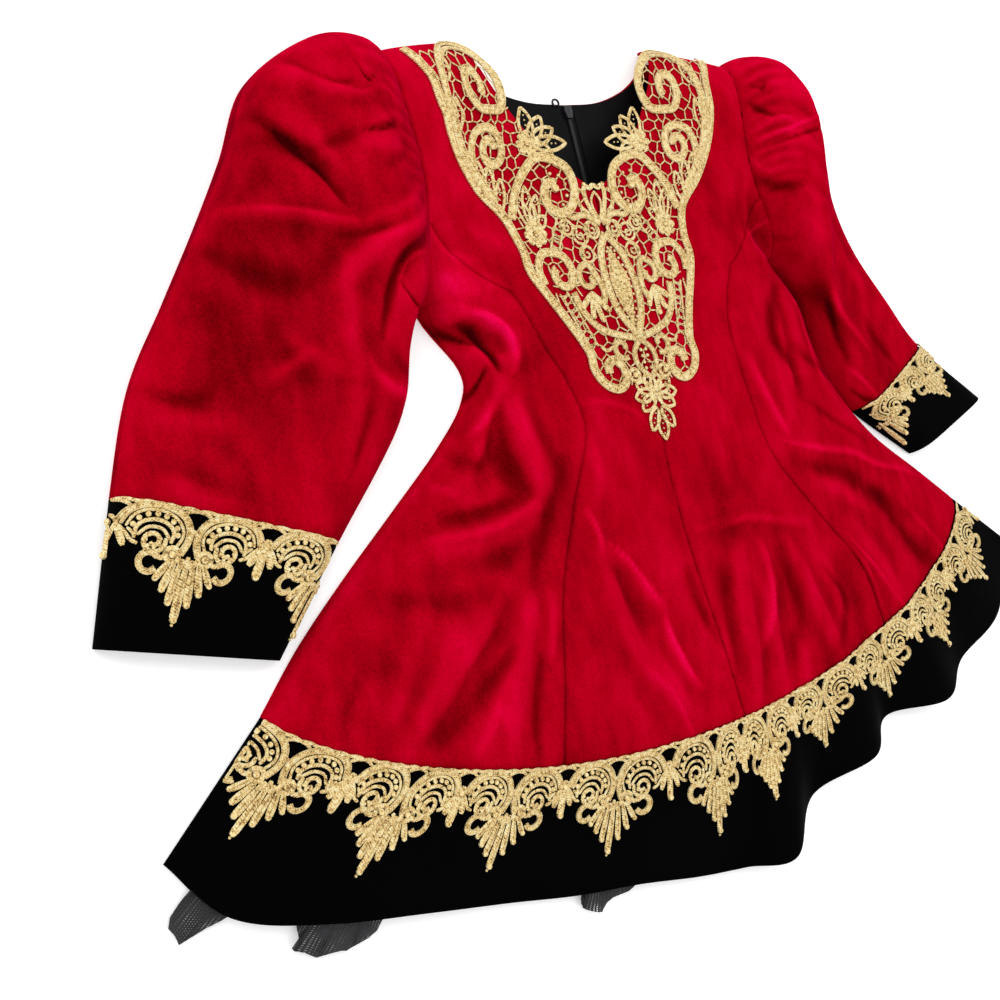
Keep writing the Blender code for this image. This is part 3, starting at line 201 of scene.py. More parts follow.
# What the cloth does on top of that. lean makes one side of a fold steeper than the other, and
# the last column is painted light: a painted highlight along the fold where it is above 0, painted shade
# where it is below 0.
creaseColumns = ("fromX", "fromY", "toX", "toY", "bend", "width", "lean", "rise", "paintedLight")
creases = {
    "body": {
        "tongue": (-13.5, 11.5, -10.8, 7.1, 1.3, 0.44, 0.0, 0.55, 0.85),
        "tongueFoot": (-11.4, 7.5, -14.9, 4.3, 0.5, 0.50, 0.0, 0.40, 0.70),
        "pocket": (-13.9, 11.2, -11.5, 7.4, 0.5, 0.48, 0.0, -0.80, -1.70),
        "pocketEdge": (-15.0, 12.1, -12.8, 9.6, -0.5, 0.60, 0.0, -0.45, -1.40),
        "pocketFoot": (-12.2, 8.2, -14.2, 6.6, 0.3, 0.42, 0.0, -0.40, -1.10),
        "sideRoll": (-14.6, 9.9, -13.1, 7.6, 0.5, 0.35, 0.0, 0.15, 0.20),
        "waistRidge": (-11.5, 6.0, -11.5, -0.7, 0.2, 0.90, 0.2, 0.37, 0.45),
        "waistHollow": (-12.4, 4.3, -12.3, -0.7, -0.3, 0.80, 0.0, -0.31, -0.70),
        "sideHollowA": (-16.4, 3.8, -13.7, 2.0, -0.4, 0.80, 0.0, -0.22, -0.50),
        "sideSpot": (-18.0, 2.3, -16.3, 1.1, -0.1, 0.45, 0.0, 0.12, 0.35),
        "dragRidge": (-11.5, -0.7, -20.3, -1.4, 0.2, 0.70, 0.3, 0.31, 0.40),
        "dragAbove": (-12.4, -0.3, -18.8, -0.2, -0.0, 0.70, 0.0, -0.19, -0.35),
        "dragBelow": (-23.5, -4.0, -15.4, -5.1, -0.2, 1.00, 0.0, -0.15, -0.30),
        "valley": (-8.1, 2.1, -13.9, -6.8, -0.5, 0.80, 0.0, -0.19, -0.40),
        "valleyLow": (-14.5, -7.4, -22.7, -12.6, 0.6, 0.90, 0.2, -0.25, -0.45),
        "blob": (-12.2, -5.8, -13.6, -10.2, 0.4, 0.60, 0.0, 0.15, 0.30),
        "seamShade": (-13.7, -9.3, -15.8, -15.6, -0.2, 0.60, 0.0, -0.19, -0.40),
        "lowRidge": (-15.6, -9.1, -20.2, -14.1, 0.1, 0.70, 0.0, 0.15, 0.20),
        "faintRidge": (-19.7, -7.0, -24.3, -13.0, 0.3, 0.60, 0.0, 0.12, 0.15),
        "broad": (-21.3, -5.4, -16.7, -9.5, -0.1, 1.60, 0.0, 0.12, 0.22),
        "broadHigh": (-22.8, -2.9, -15.1, -3.5, -0.3, 1.00, 0.0, 0.12, 0.22),
        "leftFlank": (-24.9, -3.5, -29.3, -9.5, -0.1, 0.80, 0.0, 0.12, 0.12),
        "leftDip": (-24.2, -5.8, -27.3, -11.1, -0.2, 0.90, 0.0, -0.12, -0.18),
        "pinkHigh": (-7.4, -3.8, -3.5, -9.2, -0.0, 0.54, -0.3, 0.22, 0.80),
        "pinkShade": (-8.1, -4.5, -4.9, -10.1, -0.1, 0.80, 0.0, -0.19, -0.30),
        "pinkLow": (-3.7, -9.1, -1.7, -15.5, -1.0, 0.36, -0.3, 0.25, 0.75),
        "pinkRight": (-0.8, -6.7, 0.3, -13.0, -0.4, 0.60, 0.0, -0.19, -0.45),
        "thinLine": (-6.4, -12.1, -3.1, -18.4, -0.0, 0.26, -0.3, 0.14, 0.45),
        "spot": (-8.4, -1.6, -8.0, -4.6, 0.3, 0.50, 0.0, 0.15, 0.50),
        "flankHighA": (-6.3, 3.1, -8.1, -2.4, 0.8, 1.20, 0.0, 0.06, 0.22),
        "hipLine": (-0.3, -4.7, 11.6, -6.7, 0.3, 0.45, 0.2, 0.12, 0.35),
        "upright": (6.0, -6.7, 3.4, -14.4, 1.4, 0.50, 0.0, 0.25, 0.65),
        "uprightRight": (7.6, -7.6, 6.7, -17.2, 1.0, 0.80, 0.0, -0.19, -0.42),
        "uprightLeft": (2.1, -7.4, 1.0, -15.6, 0.3, 0.70, 0.0, -0.19, -0.40),
        "seamLineR": (14.4, -8.4, 17.4, -15.3, 0.5, 0.22, 0.0, 0.11, 0.40),
        "secondLine": (15.0, -8.1, 20.1, -15.2, -0.3, 0.32, -0.3, 0.19, 0.50),
        "betweenR": (11.5, -9.6, 11.3, -16.2, 2.0, 0.80, 0.0, -0.15, -0.30),
        "topLine": (10.1, -0.2, 29.8, -6.9, -0.1, 0.36, 0.4, 0.25, 0.50),
        "topShade": (10.6, -1.7, 24.7, -9.3, 0.6, 0.90, 0.0, -0.25, -0.45),
        "midBlob": (12.1, -3.6, 18.7, -7.5, 0.4, 0.80, 0.0, 0.12, 0.22),
        "valleyR": (19.1, -5.2, 23.9, -12.9, 0.5, 0.70, 0.0, -0.22, -0.40),
        "ridgeR": (22.7, -6.6, 27.7, -13.4, -0.1, 0.50, 0.0, 0.15, 0.30),
        "edgeHigh": (12.7, 14.8, 20.7, 10.3, 3.0, 0.42, -0.3, 0.25, 1.05),
        "edgeMiddle": (15.9, 9.2, 20.0, 7.1, 1.2, 0.40, 0.0, 0.19, 1.05),
        "edgeLow": (20.1, 7.3, 22.4, 2.2, 0.1, 0.26, 0.0, 0.15, 0.50),
        "hollowA": (14.7, 10.9, 15.0, 4.1, -2.0, 1.00, 0.0, -0.31, -0.60),
        "hollowB": (14.8, 6.7, 20.7, 3.1, -0.8, 0.70, 0.0, -0.19, -0.50),
        "bandR": (9.0, 6.4, 11.8, -0.4, -0.1, 0.80, 0.0, 0.19, 0.35),
        "darkR": (13.9, 2.2, 21.7, -2.2, -0.5, 0.90, 0.0, -0.12, -0.35),
        "shoulderR": (13.5, 18.8, 13.6, 14.5, -0.3, 0.70, 0.0, 0.06, 0.35),
        "chestLine": (-14.1, 17.2, -11.1, 14.4, -0.5, 0.30, 0.0, 0.09, 0.30),
        "chestFold": (-14.1, 16.2, -12.2, 12.2, -0.5, 0.90, 0.0, 0.19, 0.30),
        "laceDrag": (-6.9, 5.1, -1.0, 2.2, 0.8, 0.26, 0.0, 0.07, 0.25),
        "chestDip": (-12.5, 20.5, -10.7, 15.2, -0.8, 1.00, 0.0, -0.09, -0.20),
        "rimHigh": (12.8, 15.6, 16.6, 9.0, 0.3, 0.50, 0.0, 0.10, 1.00),
        "rimLow": (16.4, 9.8, 17.6, 2.8, 0.1, 0.42, 0.0, 0.08, 0.80),
        # These three add no height: they only paint highlight onto the velvet.
        "chestPaintedLight": (-15.2, 19.5, -10.6, 8.0, 0.0, 3.20, 0.0, 0.0, 0.70),
        "lacePaintedLight": (-11.4, 23.0, -7.8, 12.0, 0.3, 2.20, 0.0, 0.0, 0.30),
        "waistPaintedLight": (-6.0, 8.5, -2.5, -3.5, 0.0, 2.60, 0.0, 0.0, 0.16),
    },
    "left": {
        "armShade": (-22.5, 29.5, -31.5, 3.5, -1.0, 6.50, 0.0, 0.0, -0.52),
        "capRidge": (-22.5, 26.6, -16.8, 24.7, -1.6, 0.45, -0.5, 0.22, 0.40),
        "capDip": (-21.4, 28.3, -17.4, 25.3, -2.6, 0.40, 0.0, -0.15, -0.30),
        "notch": (-18.2, 26.2, -16.5, 25.8, -1.0, 0.28, 0.0, -0.19, -0.80),
        "cuffRoll": (-17.3, 24.6, -15.2, 23.9, 0.4, 0.35, 0.0, 0.15, 0.25),
        "gatherDark": (-19.5, 21.5, -15.9, 22.8, -0.2, 0.24, 0.0, -0.22, -0.85),
        "gatherLong": (-22.7, 20.8, -19.2, 21.5, -0.1, 0.50, 0.0, -0.12, -0.40),
        "gatherRidge": (-19.8, 20.8, -15.8, 21.9, -0.3, 0.40, 0.0, 0.14, 0.22),
        "diagonal": (-24.3, 24.1, -20.6, 17.5, -0.4, 0.36, 0.3, -0.28, -0.95),
        "aboveDiagonal": (-23.9, 23.7, -20.2, 18.8, -0.1, 0.70, 0.0, 0.15, 0.15),
        "elbowRidge": (-27.6, 18.9, -20.1, 16.7, -0.3, 0.65, -0.4, 0.31, 0.65),
        "elbowArm": (-20.1, 16.7, -13.6, 20.2, -0.4, 0.60, 0.0, 0.12, 0.15),
        "elbowBelow": (-29.1, 17.3, -21.6, 14.7, -1.4, 1.30, 0.0, -0.25, -0.40),
        "underDrag": (-14.1, 18.3, -22.6, 13.3, -0.1, 0.65, 0.0, 0.25, 0.40),
        "dragTrough": (-14.7, 18.4, -21.6, 15.8, 0.6, 0.35, 0.0, -0.19, -0.50),
        "underTrough": (-14.6, 16.9, -20.4, 10.2, -1.0, 0.55, 0.0, -0.31, -0.75),
        "loopRidge": (-16.1, 15.2, -19.0, 12.2, -0.6, 0.30, 0.0, 0.19, 0.40),
        "loopDark": (-18.6, 13.2, -16.5, 12.2, -0.6, 0.20, 0.0, -0.19, -0.95),
        "column": (-21.1, 15.2, -22.5, 8.2, 0.0, 0.80, 0.0, 0.19, 0.40),
        "innerBright": (-21.4, 9.5, -17.0, 7.4, -1.1, 0.50, 0.0, 0.22, 0.60),
        "innerDark": (-20.0, 10.4, -16.6, 8.6, -0.9, 0.50, 0.0, -0.12, -0.45),
        "innerTrough": (-21.1, 7.1, -23.3, 2.8, -0.1, 0.50, 0.0, -0.15, -0.35),
        "midBright": (-28.2, 9.4, -23.7, 10.3, -0.2, 1.00, 0.0, 0.12, 0.28),
        "wristDark": (-33.8, 10.3, -30.1, 8.6, -0.7, 1.00, 0.0, -0.12, -0.30),
        "wristBright": (-33.5, 8.2, -29.3, 6.3, 0.1, 0.80, 0.0, 0.12, 0.28),
        "wristTrough": (-34.5, 7.5, -27.6, 2.7, -0.8, 0.80, 0.0, -0.12, -0.28),
        "lowBright": (-34.0, 5.7, -29.0, 2.6, -0.2, 0.50, 0.0, 0.09, 0.20),
    },
    "right": {
        "notchA": (16.1, 25.9, 17.2, 25.9, -0.7, 0.22, 0.0, -0.12, -0.70),
        "notchB": (15.6, 24.5, 17.0, 22.7, -0.3, 0.24, 0.0, -0.19, -0.95),
        "rollA": (15.2, 22.5, 18.0, 21.6, 0.7, 0.36, 0.0, 0.22, 0.30),
        "rollB": (15.0, 21.7, 21.2, 22.8, -0.5, 0.32, 0.2, 0.15, 0.45),
        "dipB": (14.8, 21.0, 21.2, 21.8, -0.4, 0.34, 0.0, -0.15, -0.60),
        "rollC": (14.6, 20.7, 15.8, 18.7, -0.2, 0.28, 0.0, 0.15, 0.45),
        "dipC": (14.5, 19.0, 17.4, 17.2, -0.3, 0.55, 0.0, -0.19, -0.60),
        "dipD": (14.5, 16.7, 16.4, 13.7, -0.6, 0.30, 0.0, -0.15, -0.45),
        "armRidge": (18.5, 12.4, 23.0, 4.5, -1.2, 0.50, 0.3, 0.19, 0.35),
        "armHollow": (18.7, 11.4, 20.4, 3.6, -0.6, 0.80, 0.0, -0.25, -0.70),
        "wristRidge": (20.0, 4.0, 22.9, 0.9, 0.1, 0.30, 0.0, 0.19, 0.40),
        "wristDark": (20.7, 2.5, 23.2, 0.4, -0.2, 0.25, 0.0, -0.15, -0.80),
        "sideShade": (17.2, 12.6, 20.4, 3.4, 0.2, 0.55, 0.0, -0.12, -0.60),
        "outerRidge": (18.5, 15.0, 24.7, 6.3, 0.4, 0.60, 0.0, 0.09, 0.15),
        "outerDip": (22.6, 7.1, 26.0, 2.5, 0.0, 0.50, 0.0, -0.12, -0.25),
    },
}


def tableOf(rows, columns):
    return {name: np.array([row[i] for row in rows.values()], float) for i, name in enumerate(columns)}


bodyTable = tableOf(bodySections, bodyColumns)
hemTable = tableOf(hemEdge, hemColumns)
sleeveTables = {side: tableOf(rows, sleeveColumns) for side, rows in sleeveSections.items()}
frontNeck = tableOf(frontNeckline, neckColumns)
backNeck = tableOf(backNeckline, neckColumns)
foldTables = {part: tableOf(rows, foldColumns) for part, rows in folds.items()}
creaseTables = {part: tableOf(rows, creaseColumns) for part, rows in creases.items()}


def smoothAt(values, place):
    # A smooth curve through a column of a table, read at places counted in rows.
    place = np.asarray(place, float)
    last = len(values) - 1
    index = np.clip(np.floor(place).astype(int), 0, last - 1)
    t = place - index
    longer = np.concatenate([[2 * values[0] - values[1]], values, [2 * values[-1] - values[-2]]])
    before, start, end, after = (longer[index + k] for k in range(4))
    leave, arrive = (end - before) / 2, (after - start) / 2
    return (start * (2 * t**3 - 3 * t**2 + 1) + leave * (t**3 - 2 * t**2 + t)
            + end * (3 * t**2 - 2 * t**3) + arrive * (t**3 - t**2))


def placeWhere(values, wanted):
    # The place in rows at which a rising column reaches each wanted value.
    wanted = np.asarray(wanted, float)
    low = np.zeros_like(wanted)
    high = np.full_like(wanted, len(values) - 1.0)
    for _ in range(30):
        middle = (low + high) / 2
        below = smoothAt(values, middle) < wanted
        low = np.where(below, middle, low)
        high = np.where(below, high, middle)
    return (low + high) / 2


def blendOf(a, b, share):
    return a + (b - a) * share


def crownOf(s, power=0.5):
    return np.maximum(0.0, 1 - np.abs(s) ** cloth["crown"]) ** power


wander = {"size": 0.20, "turns": 0.55}
paintedLightReach = 0.72


def foldField(table, x, y, what="rise"):
    # The height, or the painted highlight and shade, that a table of folds adds at each point.
    turns, size = wander["turns"], wander["size"]
    field = np.zeros_like(x)
    wx = x + size * np.sin(turns * y + 1.3 * np.sin(0.7 * x))
    wy = y + size * np.sin(turns * 1.2 * x + 1.1 * np.sin(0.8 * y))
    for k in range(len(table["rise"])):
        ax, ay = table["toX"][k] - table["fromX"][k], table["toY"][k] - table["fromY"][k]
        long = math.hypot(ax, ay)
        ox, oy = wx - table["fromX"][k], wy - table["fromY"][k]
        share = (ox * ax + oy * ay) / long**2
        inside = (share > 0) & (share < 1)
        share = np.clip(share, 0, 1)
        side = (ax * oy - ay * ox) / long - table["bend"][k] * 4 * share * (1 - share)
        lean = table["lean"][k] if "lean" in table else 0.0
        width = table["width"][k] * (0.8 + 0.35 * np.sin(2.2 * share + k))
        width = width * (1 + np.where(side > 0, lean, -lean))
        if what == "paintedLight":
            width = width * paintedLightReach
        across = np.exp(-((side / width) ** 2))
        field += np.where(inside, table[what][k] * across * np.sin(np.pi * share) ** 0.7, 0)
    return field


def bodyPoint(place, s, fine=True):
    # Points of the front in centimetres: s runs from -1 at its left edge to 1 at its right.
    place, s = np.broadcast_arrays(np.asarray(place, float), np.asarray(s, float))
    row = {name: smoothAt(values, place) for name, values in bodyTable.items()}
    x = blendOf(row["leftX"], row["rightX"], (s + 1) / 2)
    y = blendOf(row["leftY"], row["rightY"], (s + 1) / 2) + row["arch"] * np.maximum(0, 1 - s * s) ** 0.75
    share = np.minimum(1.0, 2 * (place - underarm) / (shoulder - underarm) - 1)
    above = place > underarm
    holeHeight = np.where(s < 0, armholeHeight["left"], armholeHeight["right"])
    top = np.where(above, crownOf(np.maximum(0.0, share)), 1.0)
    hole = crownOf(np.clip(share, -1, 1))
    rest = np.clip((share + 1) / 0.9, 0, 1)
    hole = blendOf(hole * rest * rest * (3 - 2 * rest), hole, np.abs(s) ** 40)
    edge = np.where(above, blendOf(cloth["edge"], holeHeight, hole), cloth["edge"])
    middle = np.where(above, blendOf(cloth["edge"], row["height"], top), row["height"])
    soften = np.clip((share + 1) / 0.5, 0, 1)
    power = np.where(above, blendOf(0.5, 1.0, soften * soften * (3 - 2 * soften)), 0.5)
    rise = foldField(foldTables["body"], x, y)
    if fine:
        rise = rise + foldField(creaseTables["body"], x, y)
    rise = rise * (1 - np.abs(s) ** 6) * top
    return np.stack([x, y, blendOf(edge, middle, crownOf(s, power)) + rise], -1)


hemLast = len(hemEdge) - 1


def hemAt(place):
    # The edge of the hem, seen from above.
    return np.stack([smoothAt(hemTable["x"], place), smoothAt(hemTable["y"], place)], -1)


def bandPoint(down, s, fine=True):
    # Points of the black band: down is 0 at the hem seam and 1 at its lower edge.
    down, s = np.broadcast_arrays(np.asarray(down, float), np.asarray(s, float))
    seam = bodyPoint(np.zeros_like(s), s, fine)
    place = (s + 1) / 2 * hemLast
    lift = blendOf(cloth["edge"], smoothAt(hemTable["lift"], place), crownOf(s))
    foot = np.concatenate([hemAt(place), lift[..., None]], -1)
    points = blendOf(seam, foot, down[..., None])
    points[..., 2] += 0.25 * np.sin(np.pi * down) * crownOf(s)
    return points


def armholePoint(side, s):
    place = underarm + (s + 1) / 2 * (shoulder - underarm)
    return bodyPoint(place, np.full_like(place, -1.0 if side == "left" else 1.0))


def sleevePoint(side, place, s, fine=True):
    # Points of a sleeve's upper face: s runs from -1 at its inner edge to 1 at its outer edge.
    place, s = np.broadcast_arrays(np.asarray(place, float), np.asarray(s, float))
    table = sleeveTables[side]
    row = {name: smoothAt(values, place) for name, values in table.items()}
    x = blendOf(row["innerX"], row["outerX"], (s + 1) / 2)
    y = blendOf(row["innerY"], row["outerY"], (s + 1) / 2)
    bow = np.maximum(0.0, 1 - place)
    armhole = armholePoint(side, s)
    x = x + bow * (armhole[..., 0] - blendOf(table["innerX"][0], table["outerX"][0], (s + 1) / 2))
    y = y + bow * (armhole[..., 1] - blendOf(table["innerY"][0], table["outerY"][0], (s + 1) / 2))
    rise = foldField(foldTables[side], x, y)
    if fine:
        rise = rise + foldField(creaseTables[side], x, y)
        rise = rise + gatherRise(side, place, s)
    rise = rise * (1 - np.abs(s) ** 6) * np.minimum(1.0, place)
    return np.stack([x, y, blendOf(cloth["edge"], row["height"], crownOf(s)) + rise], -1)


gathers = {"left": {"count": 15, "depth": 0.16, "reach": 1.1},
           "right": {"count": 17, "depth": 0.22, "reach": 1.3}}


def gatherRise(side, place, s):
    # Small pleats where the sleeve's cap is gathered into the armhole.
    setting = gathers[side]
    wave = np.sin(np.pi * setting["count"] * s + 1.7 * np.sin(3.1 * s)) * (0.75 + 0.25 * np.sin(11 * s))
    cap = np.clip((s + 0.55) / 0.5, 0, 1)
    fade = np.exp(-((place / setting["reach"]) ** 2)) * np.minimum(1, place * 3)
    return setting["depth"] * wave * cap * fade


def shareAt(place, x):
    left, right = smoothAt(bodyTable["leftX"], place), smoothAt(bodyTable["rightX"], place)
    return 2 * (x - left) / (right - left) - 1


armSteps = np.sin(np.pi * (np.arange(17) / 16 - 0.5))
princess = {"top": 6, "end": 0.15}


def princessShare(place, side):
    # The princess seam, which curves out to the armhole above the underarm.
    top = underarm + (armSteps[princess["top"]] + 1) / 2 * (shoulder - underarm)
    sign = 1 if side == "left" else -1
    low = smoothAt(bodyTable[side + "Seam"], np.minimum(place, underarm))
    edge = smoothAt(bodyTable[side + "X"], place) + sign * princess["end"]
    share = np.clip((place - underarm) / (top - underarm), 0, 1)
    return shareAt(place, np.where(place <= underarm, low, blendOf(low, edge, share ** 0.85)))


def neckShare(place, side):
    # The centre seam, then the neckline above its point.
    place = np.asarray(place, float)
    seam = shareAt(place, smoothAt(bodyTable["centre"], place))
    s = seam.copy()
    for _ in range(10):
        y = bodyPoint(place, s, False)[..., 1]
        near = np.clip(y, frontNeck["y"][0], frontNeck["y"][-1])
        x = smoothAt(frontNeck[side + "X"], placeWhere(frontNeck["y"], near))
        s = np.where(y <= frontNeck["y"][0], seam, shareAt(place, x))
    return s


def faceOf(surface, u, s, uRange, sRange=(-1.0, 1.0)):
    # The way a surface faces at each place on it.
    step = 0.01
    uLow, uHigh = np.maximum(u - step, uRange[0]), np.minimum(u + step, uRange[1])
    sLow, sHigh = np.maximum(s - step, sRange[0]), np.minimum(s + step, sRange[1])
    along = surface(uHigh, s) - surface(uLow, s)
    across = surface(u, sHigh) - surface(u, sLow)
    facing = np.cross(along, across)
    facing *= np.where(facing[..., 2:3] < 0, -1, 1)
    return facing / np.maximum(np.linalg.norm(facing, axis=-1, keepdims=True), 1e-9)


def clearSelection():
    if bpy.context.object and bpy.context.object.mode != "OBJECT":
        bpy.ops.object.mode_set(mode="OBJECT")
    bpy.ops.object.select_all(action="DESELECT")


def choose(piece):
    clearSelection()
    piece.select_set(True)
    bpy.context.view_layer.objects.active = piece


def editWhole(piece, change):
    # Runs one mesh tool on the whole of a piece.
    choose(piece)
    bpy.ops.object.mode_set(mode="EDIT")
    bpy.ops.mesh.select_all(action="SELECT")
    change()
    bpy.ops.object.mode_set(mode="OBJECT")


def gridPiece(name, columns, rows):
    # A flat grid to shape, with the two shares from 0 to 1 of each of its points.
    clearSelection()
    bpy.ops.mesh.primitive_grid_add(x_subdivisions=columns, y_subdivisions=rows, size=2, location=(0, 0, 0))
    piece = bpy.context.object
    piece.name = name
    piece.data.name = name
    flat = np.zeros(len(piece.data.vertices) * 3)
    piece.data.vertices.foreach_get("co", flat)
    flat = flat.reshape(-1, 3)
    return piece, (flat[:, 0] + 1) / 2, (flat[:, 1] + 1) / 2


def setPoints(piece, points):
    piece.data.vertices.foreach_set("co", (points * cm + toFrame).ravel())
    piece.data.update()


def readPoints(piece):
    flat = np.zeros(len(piece.data.vertices) * 3)
    piece.data.vertices.foreach_get("co", flat)
    return flat.reshape(-1, 3)


def setTone(piece, values):
    tone = piece.data.attributes.new("tone", "FLOAT", "POINT")
    tone.data.foreach_set("value", np.asarray(values, float).ravel())


def turnOutward(piece, outward=lambda centres: np.array([0.0, 0.0, 1.0])):
    # Turns the whole piece round where its faces look the wrong way, which is up for most.
    normals = np.zeros(len(piece.data.polygons) * 3)
    centres = np.zeros(len(piece.data.polygons) * 3)
    piece.data.polygons.foreach_get("normal", normals)
    piece.data.polygons.foreach_get("center", centres)
    if (normals.reshape(-1, 3) * outward(centres.reshape(-1, 3))).sum() < 0:
        piece.data.flip_normals()


def applyModifiers(piece):
    choose(piece)
    for modifier in list(piece.modifiers):
        bpy.ops.object.modifier_apply(modifier=modifier.name)


def thicken(piece, thickness=None):
    wall = piece.modifiers.new("wall", "SOLIDIFY")
    wall.thickness = thickness or cloth["velvet"]
    wall.offset = -1
    wall.use_even_offset = False
    applyModifiers(piece)


def layCloth(piece, points, tone, thickness=None):
    # Shapes a grid, turns it face up and gives it its thickness.
    setPoints(piece, points)
    setTone(piece, tone)
    turnOutward(piece)
    thicken(piece, thickness)


def finishPiece(piece, material, nodes):
    piece.data.materials.clear()
    piece.data.materials.append(material)
    choose(piece)
    bpy.ops.object.shade_smooth_by_angle(angle=math.radians(60))
    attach(piece, "root")
    if nodes:
        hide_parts(*nodes)
    return piece


# How strongly each part of the painted light and shade shows; light is the direction that the painted light
# comes from.
paintedLightLook = {"crest": 0.30, "slope": 0.25, "paintedLight": 0.85, "reach": 6, "height": 0.10, "light": (-0.35, 0.75),
           "most": 1.2}


def paintedLightTone(points, u, v, columns, rows, part=None):
    # Painted light and shade for the velvet: lighter on crests above the neighbourhood and darker in hollows,
    # lighter on slopes that face a fixed light direction, plus the folds' painted highlights and shade.
    reach = paintedLightLook["reach"]
    order = np.lexsort((u, v))
    grid = points[order].reshape(rows + 1, columns + 1, 3)
    height = grid[..., 2]
    soft = height
    for axis in (0, 1):
        padded = np.pad(soft, [(reach, reach) if a == axis else (0, 0) for a in (0, 1)], mode="edge")
        total = np.insert(np.cumsum(padded, axis=axis), 0, 0, axis=axis)
        size = 2 * reach + 1
        if axis == 0:
            soft = (total[size:, :] - total[:-size, :]) / size
        else:
            soft = (total[:, size:] - total[:, :-size]) / size
    crest = np.clip((height - soft) / paintedLightLook["height"], -1, 1)
    facing = np.cross(np.gradient(grid, axis=1), np.gradient(grid, axis=0))
    facing *= np.where(facing[..., 2:3] < 0, -1, 1)
    facing /= np.maximum(np.linalg.norm(facing, axis=-1, keepdims=True), 1e-9)
    slope = facing[..., 0] * paintedLightLook["light"][0] + facing[..., 1] * paintedLightLook["light"][1]
    tone = np.zeros(len(points))
    tone[order] = (paintedLightLook["crest"] * crest + paintedLightLook["slope"] * slope).ravel()
    if part:
        tone += paintedLightLook["paintedLight"] * foldField(creaseTables[part], points[:, 0], points[:, 1], "paintedLight")
    return np.clip(tone, -paintedLightLook["most"], paintedLightLook["most"])


class Wire:
    # The output of a shader node, so that shader sums read as plain ones.
    def __init__(self, tree, socket):
        self.tree = tree
        self.socket = socket

    def sum(self, operation, a, b=None):
        node = self.tree.nodes.new("ShaderNodeMath")
        node.operation = operation
        for place, value in zip(node.inputs, (a, b)):
            if isinstance(value, Wire):
                self.tree.links.new(value.socket, place)
            elif value is not None:
                place.default_value = value
        return Wire(self.tree, node.outputs[0])

    def __add__(self, other):
        return self.sum("ADD", self, other)

    def __radd__(self, other):
        return self.sum("ADD", other, self)

    def __sub__(self, other):
        return self.sum("SUBTRACT", self, other)

    def __rsub__(self, other):
        return self.sum("SUBTRACT", other, self)

    def __mul__(self, other):
        return self.sum("MULTIPLY", self, other)

    def __rmul__(self, other):
        return self.sum("MULTIPLY", other, self)

    def __truediv__(self, other):
        return self.sum("DIVIDE", self, other)

    def sine(self):
        return self.sum("SINE", self)

    def power(self, other):
        return self.sum("POWER", self, other)

    def limit(self):
        node = self.tree.nodes.new("ShaderNodeClamp")
        self.tree.links.new(self.socket, node.inputs[0])
        return Wire(self.tree, node.outputs[0])


class Finish:
    # A material with one shader, whose nodes are added one by one.
    def __init__(self, name, **values):
        self.material = bpy.data.materials.new(name)
        self.material.use_nodes = True
        self.tree = self.material.node_tree
        self.shader = self.tree.nodes["Principled BSDF"]
        for key, value in values.items():
            self.shader.inputs[key.replace("_", " ")].default_value = value

    def node(self, kind, settings=None, output=0, **values):
        made = self.tree.nodes.new("ShaderNode" + kind)
        for key, value in (settings or {}).items():
            if key == "stops":
                ramp = made.color_ramp
                while len(ramp.elements) < len(value):
                    ramp.elements.new(0.5)
                for stop, (place, colour) in zip(ramp.elements, value):
                    stop.position = place
                    stop.color = (*colour, 1)
            else:
                setattr(made, key, value)
        for key, value in values.items():
            place = made.inputs[int(key[1:]) if key[1:].isdigit() else key.replace("_", " ")]
            if isinstance(value, Wire):
                self.tree.links.new(value.socket, place)
            else:
                place.default_value = value
        return Wire(self.tree, made.outputs[output])

    def place(self, stretch=(1, 1, 1), turn=0.0):
        where = self.node("TexCoord", output="Object")
        return self.node("Mapping", Vector=where, Scale=stretch, Rotation=(0, 0, turn))

    def noise(self, scale, detail=2.0, stretch=(1, 1, 1), turn=0.0):
        return self.node("TexNoise", Vector=self.place(stretch, turn), Scale=scale, Detail=detail)

    def read(self, name):
        return self.node("Attribute", {"attribute_name": name}, output="Fac")

    def ramp(self, value, stops):
        return self.node("ValToRGB", {"stops": stops}, i0=value)

    def feed(self, name, value):
        self.tree.links.new(value.socket, self.shader.inputs[name])

    def bump(self, height, strength, distance):
        self.feed("Normal", self.node("Bump", Height=height, Strength=strength, Distance=distance))


# Each noise of a finish is its scale and detail, and where it has them its stretch and its turn.
redVelvet = {
    "shade": ((0.0, (0.040, 0.0, 0.0005)), (0.25, (0.18, 0.0, 0.0025)), (0.48, (0.40, 0.0, 0.0085)),
              (0.70, (0.60, 0.0, 0.024)), (1.0, (0.92, 0.002, 0.095))),
    "tone": 0.455,
    "crest": 0.38,
    "nap": 0.40,
    "patches": 0.32,
    "creases": 0.30,
    "pile": 0.30,
    "sheen": 0.25,
    "sheenTint": (1.0, 0.0, 0.10, 1),
    "brushNoise": (34, 5, (1, 0.42, 1), 0.9),
    "patchNoise": (11, 4, (1, 0.7, 1), 1.2),
    "creaseNoise": (95, 4, (1, 0.5, 1), 1.6),
    "pileNoise": (800, 2),
}


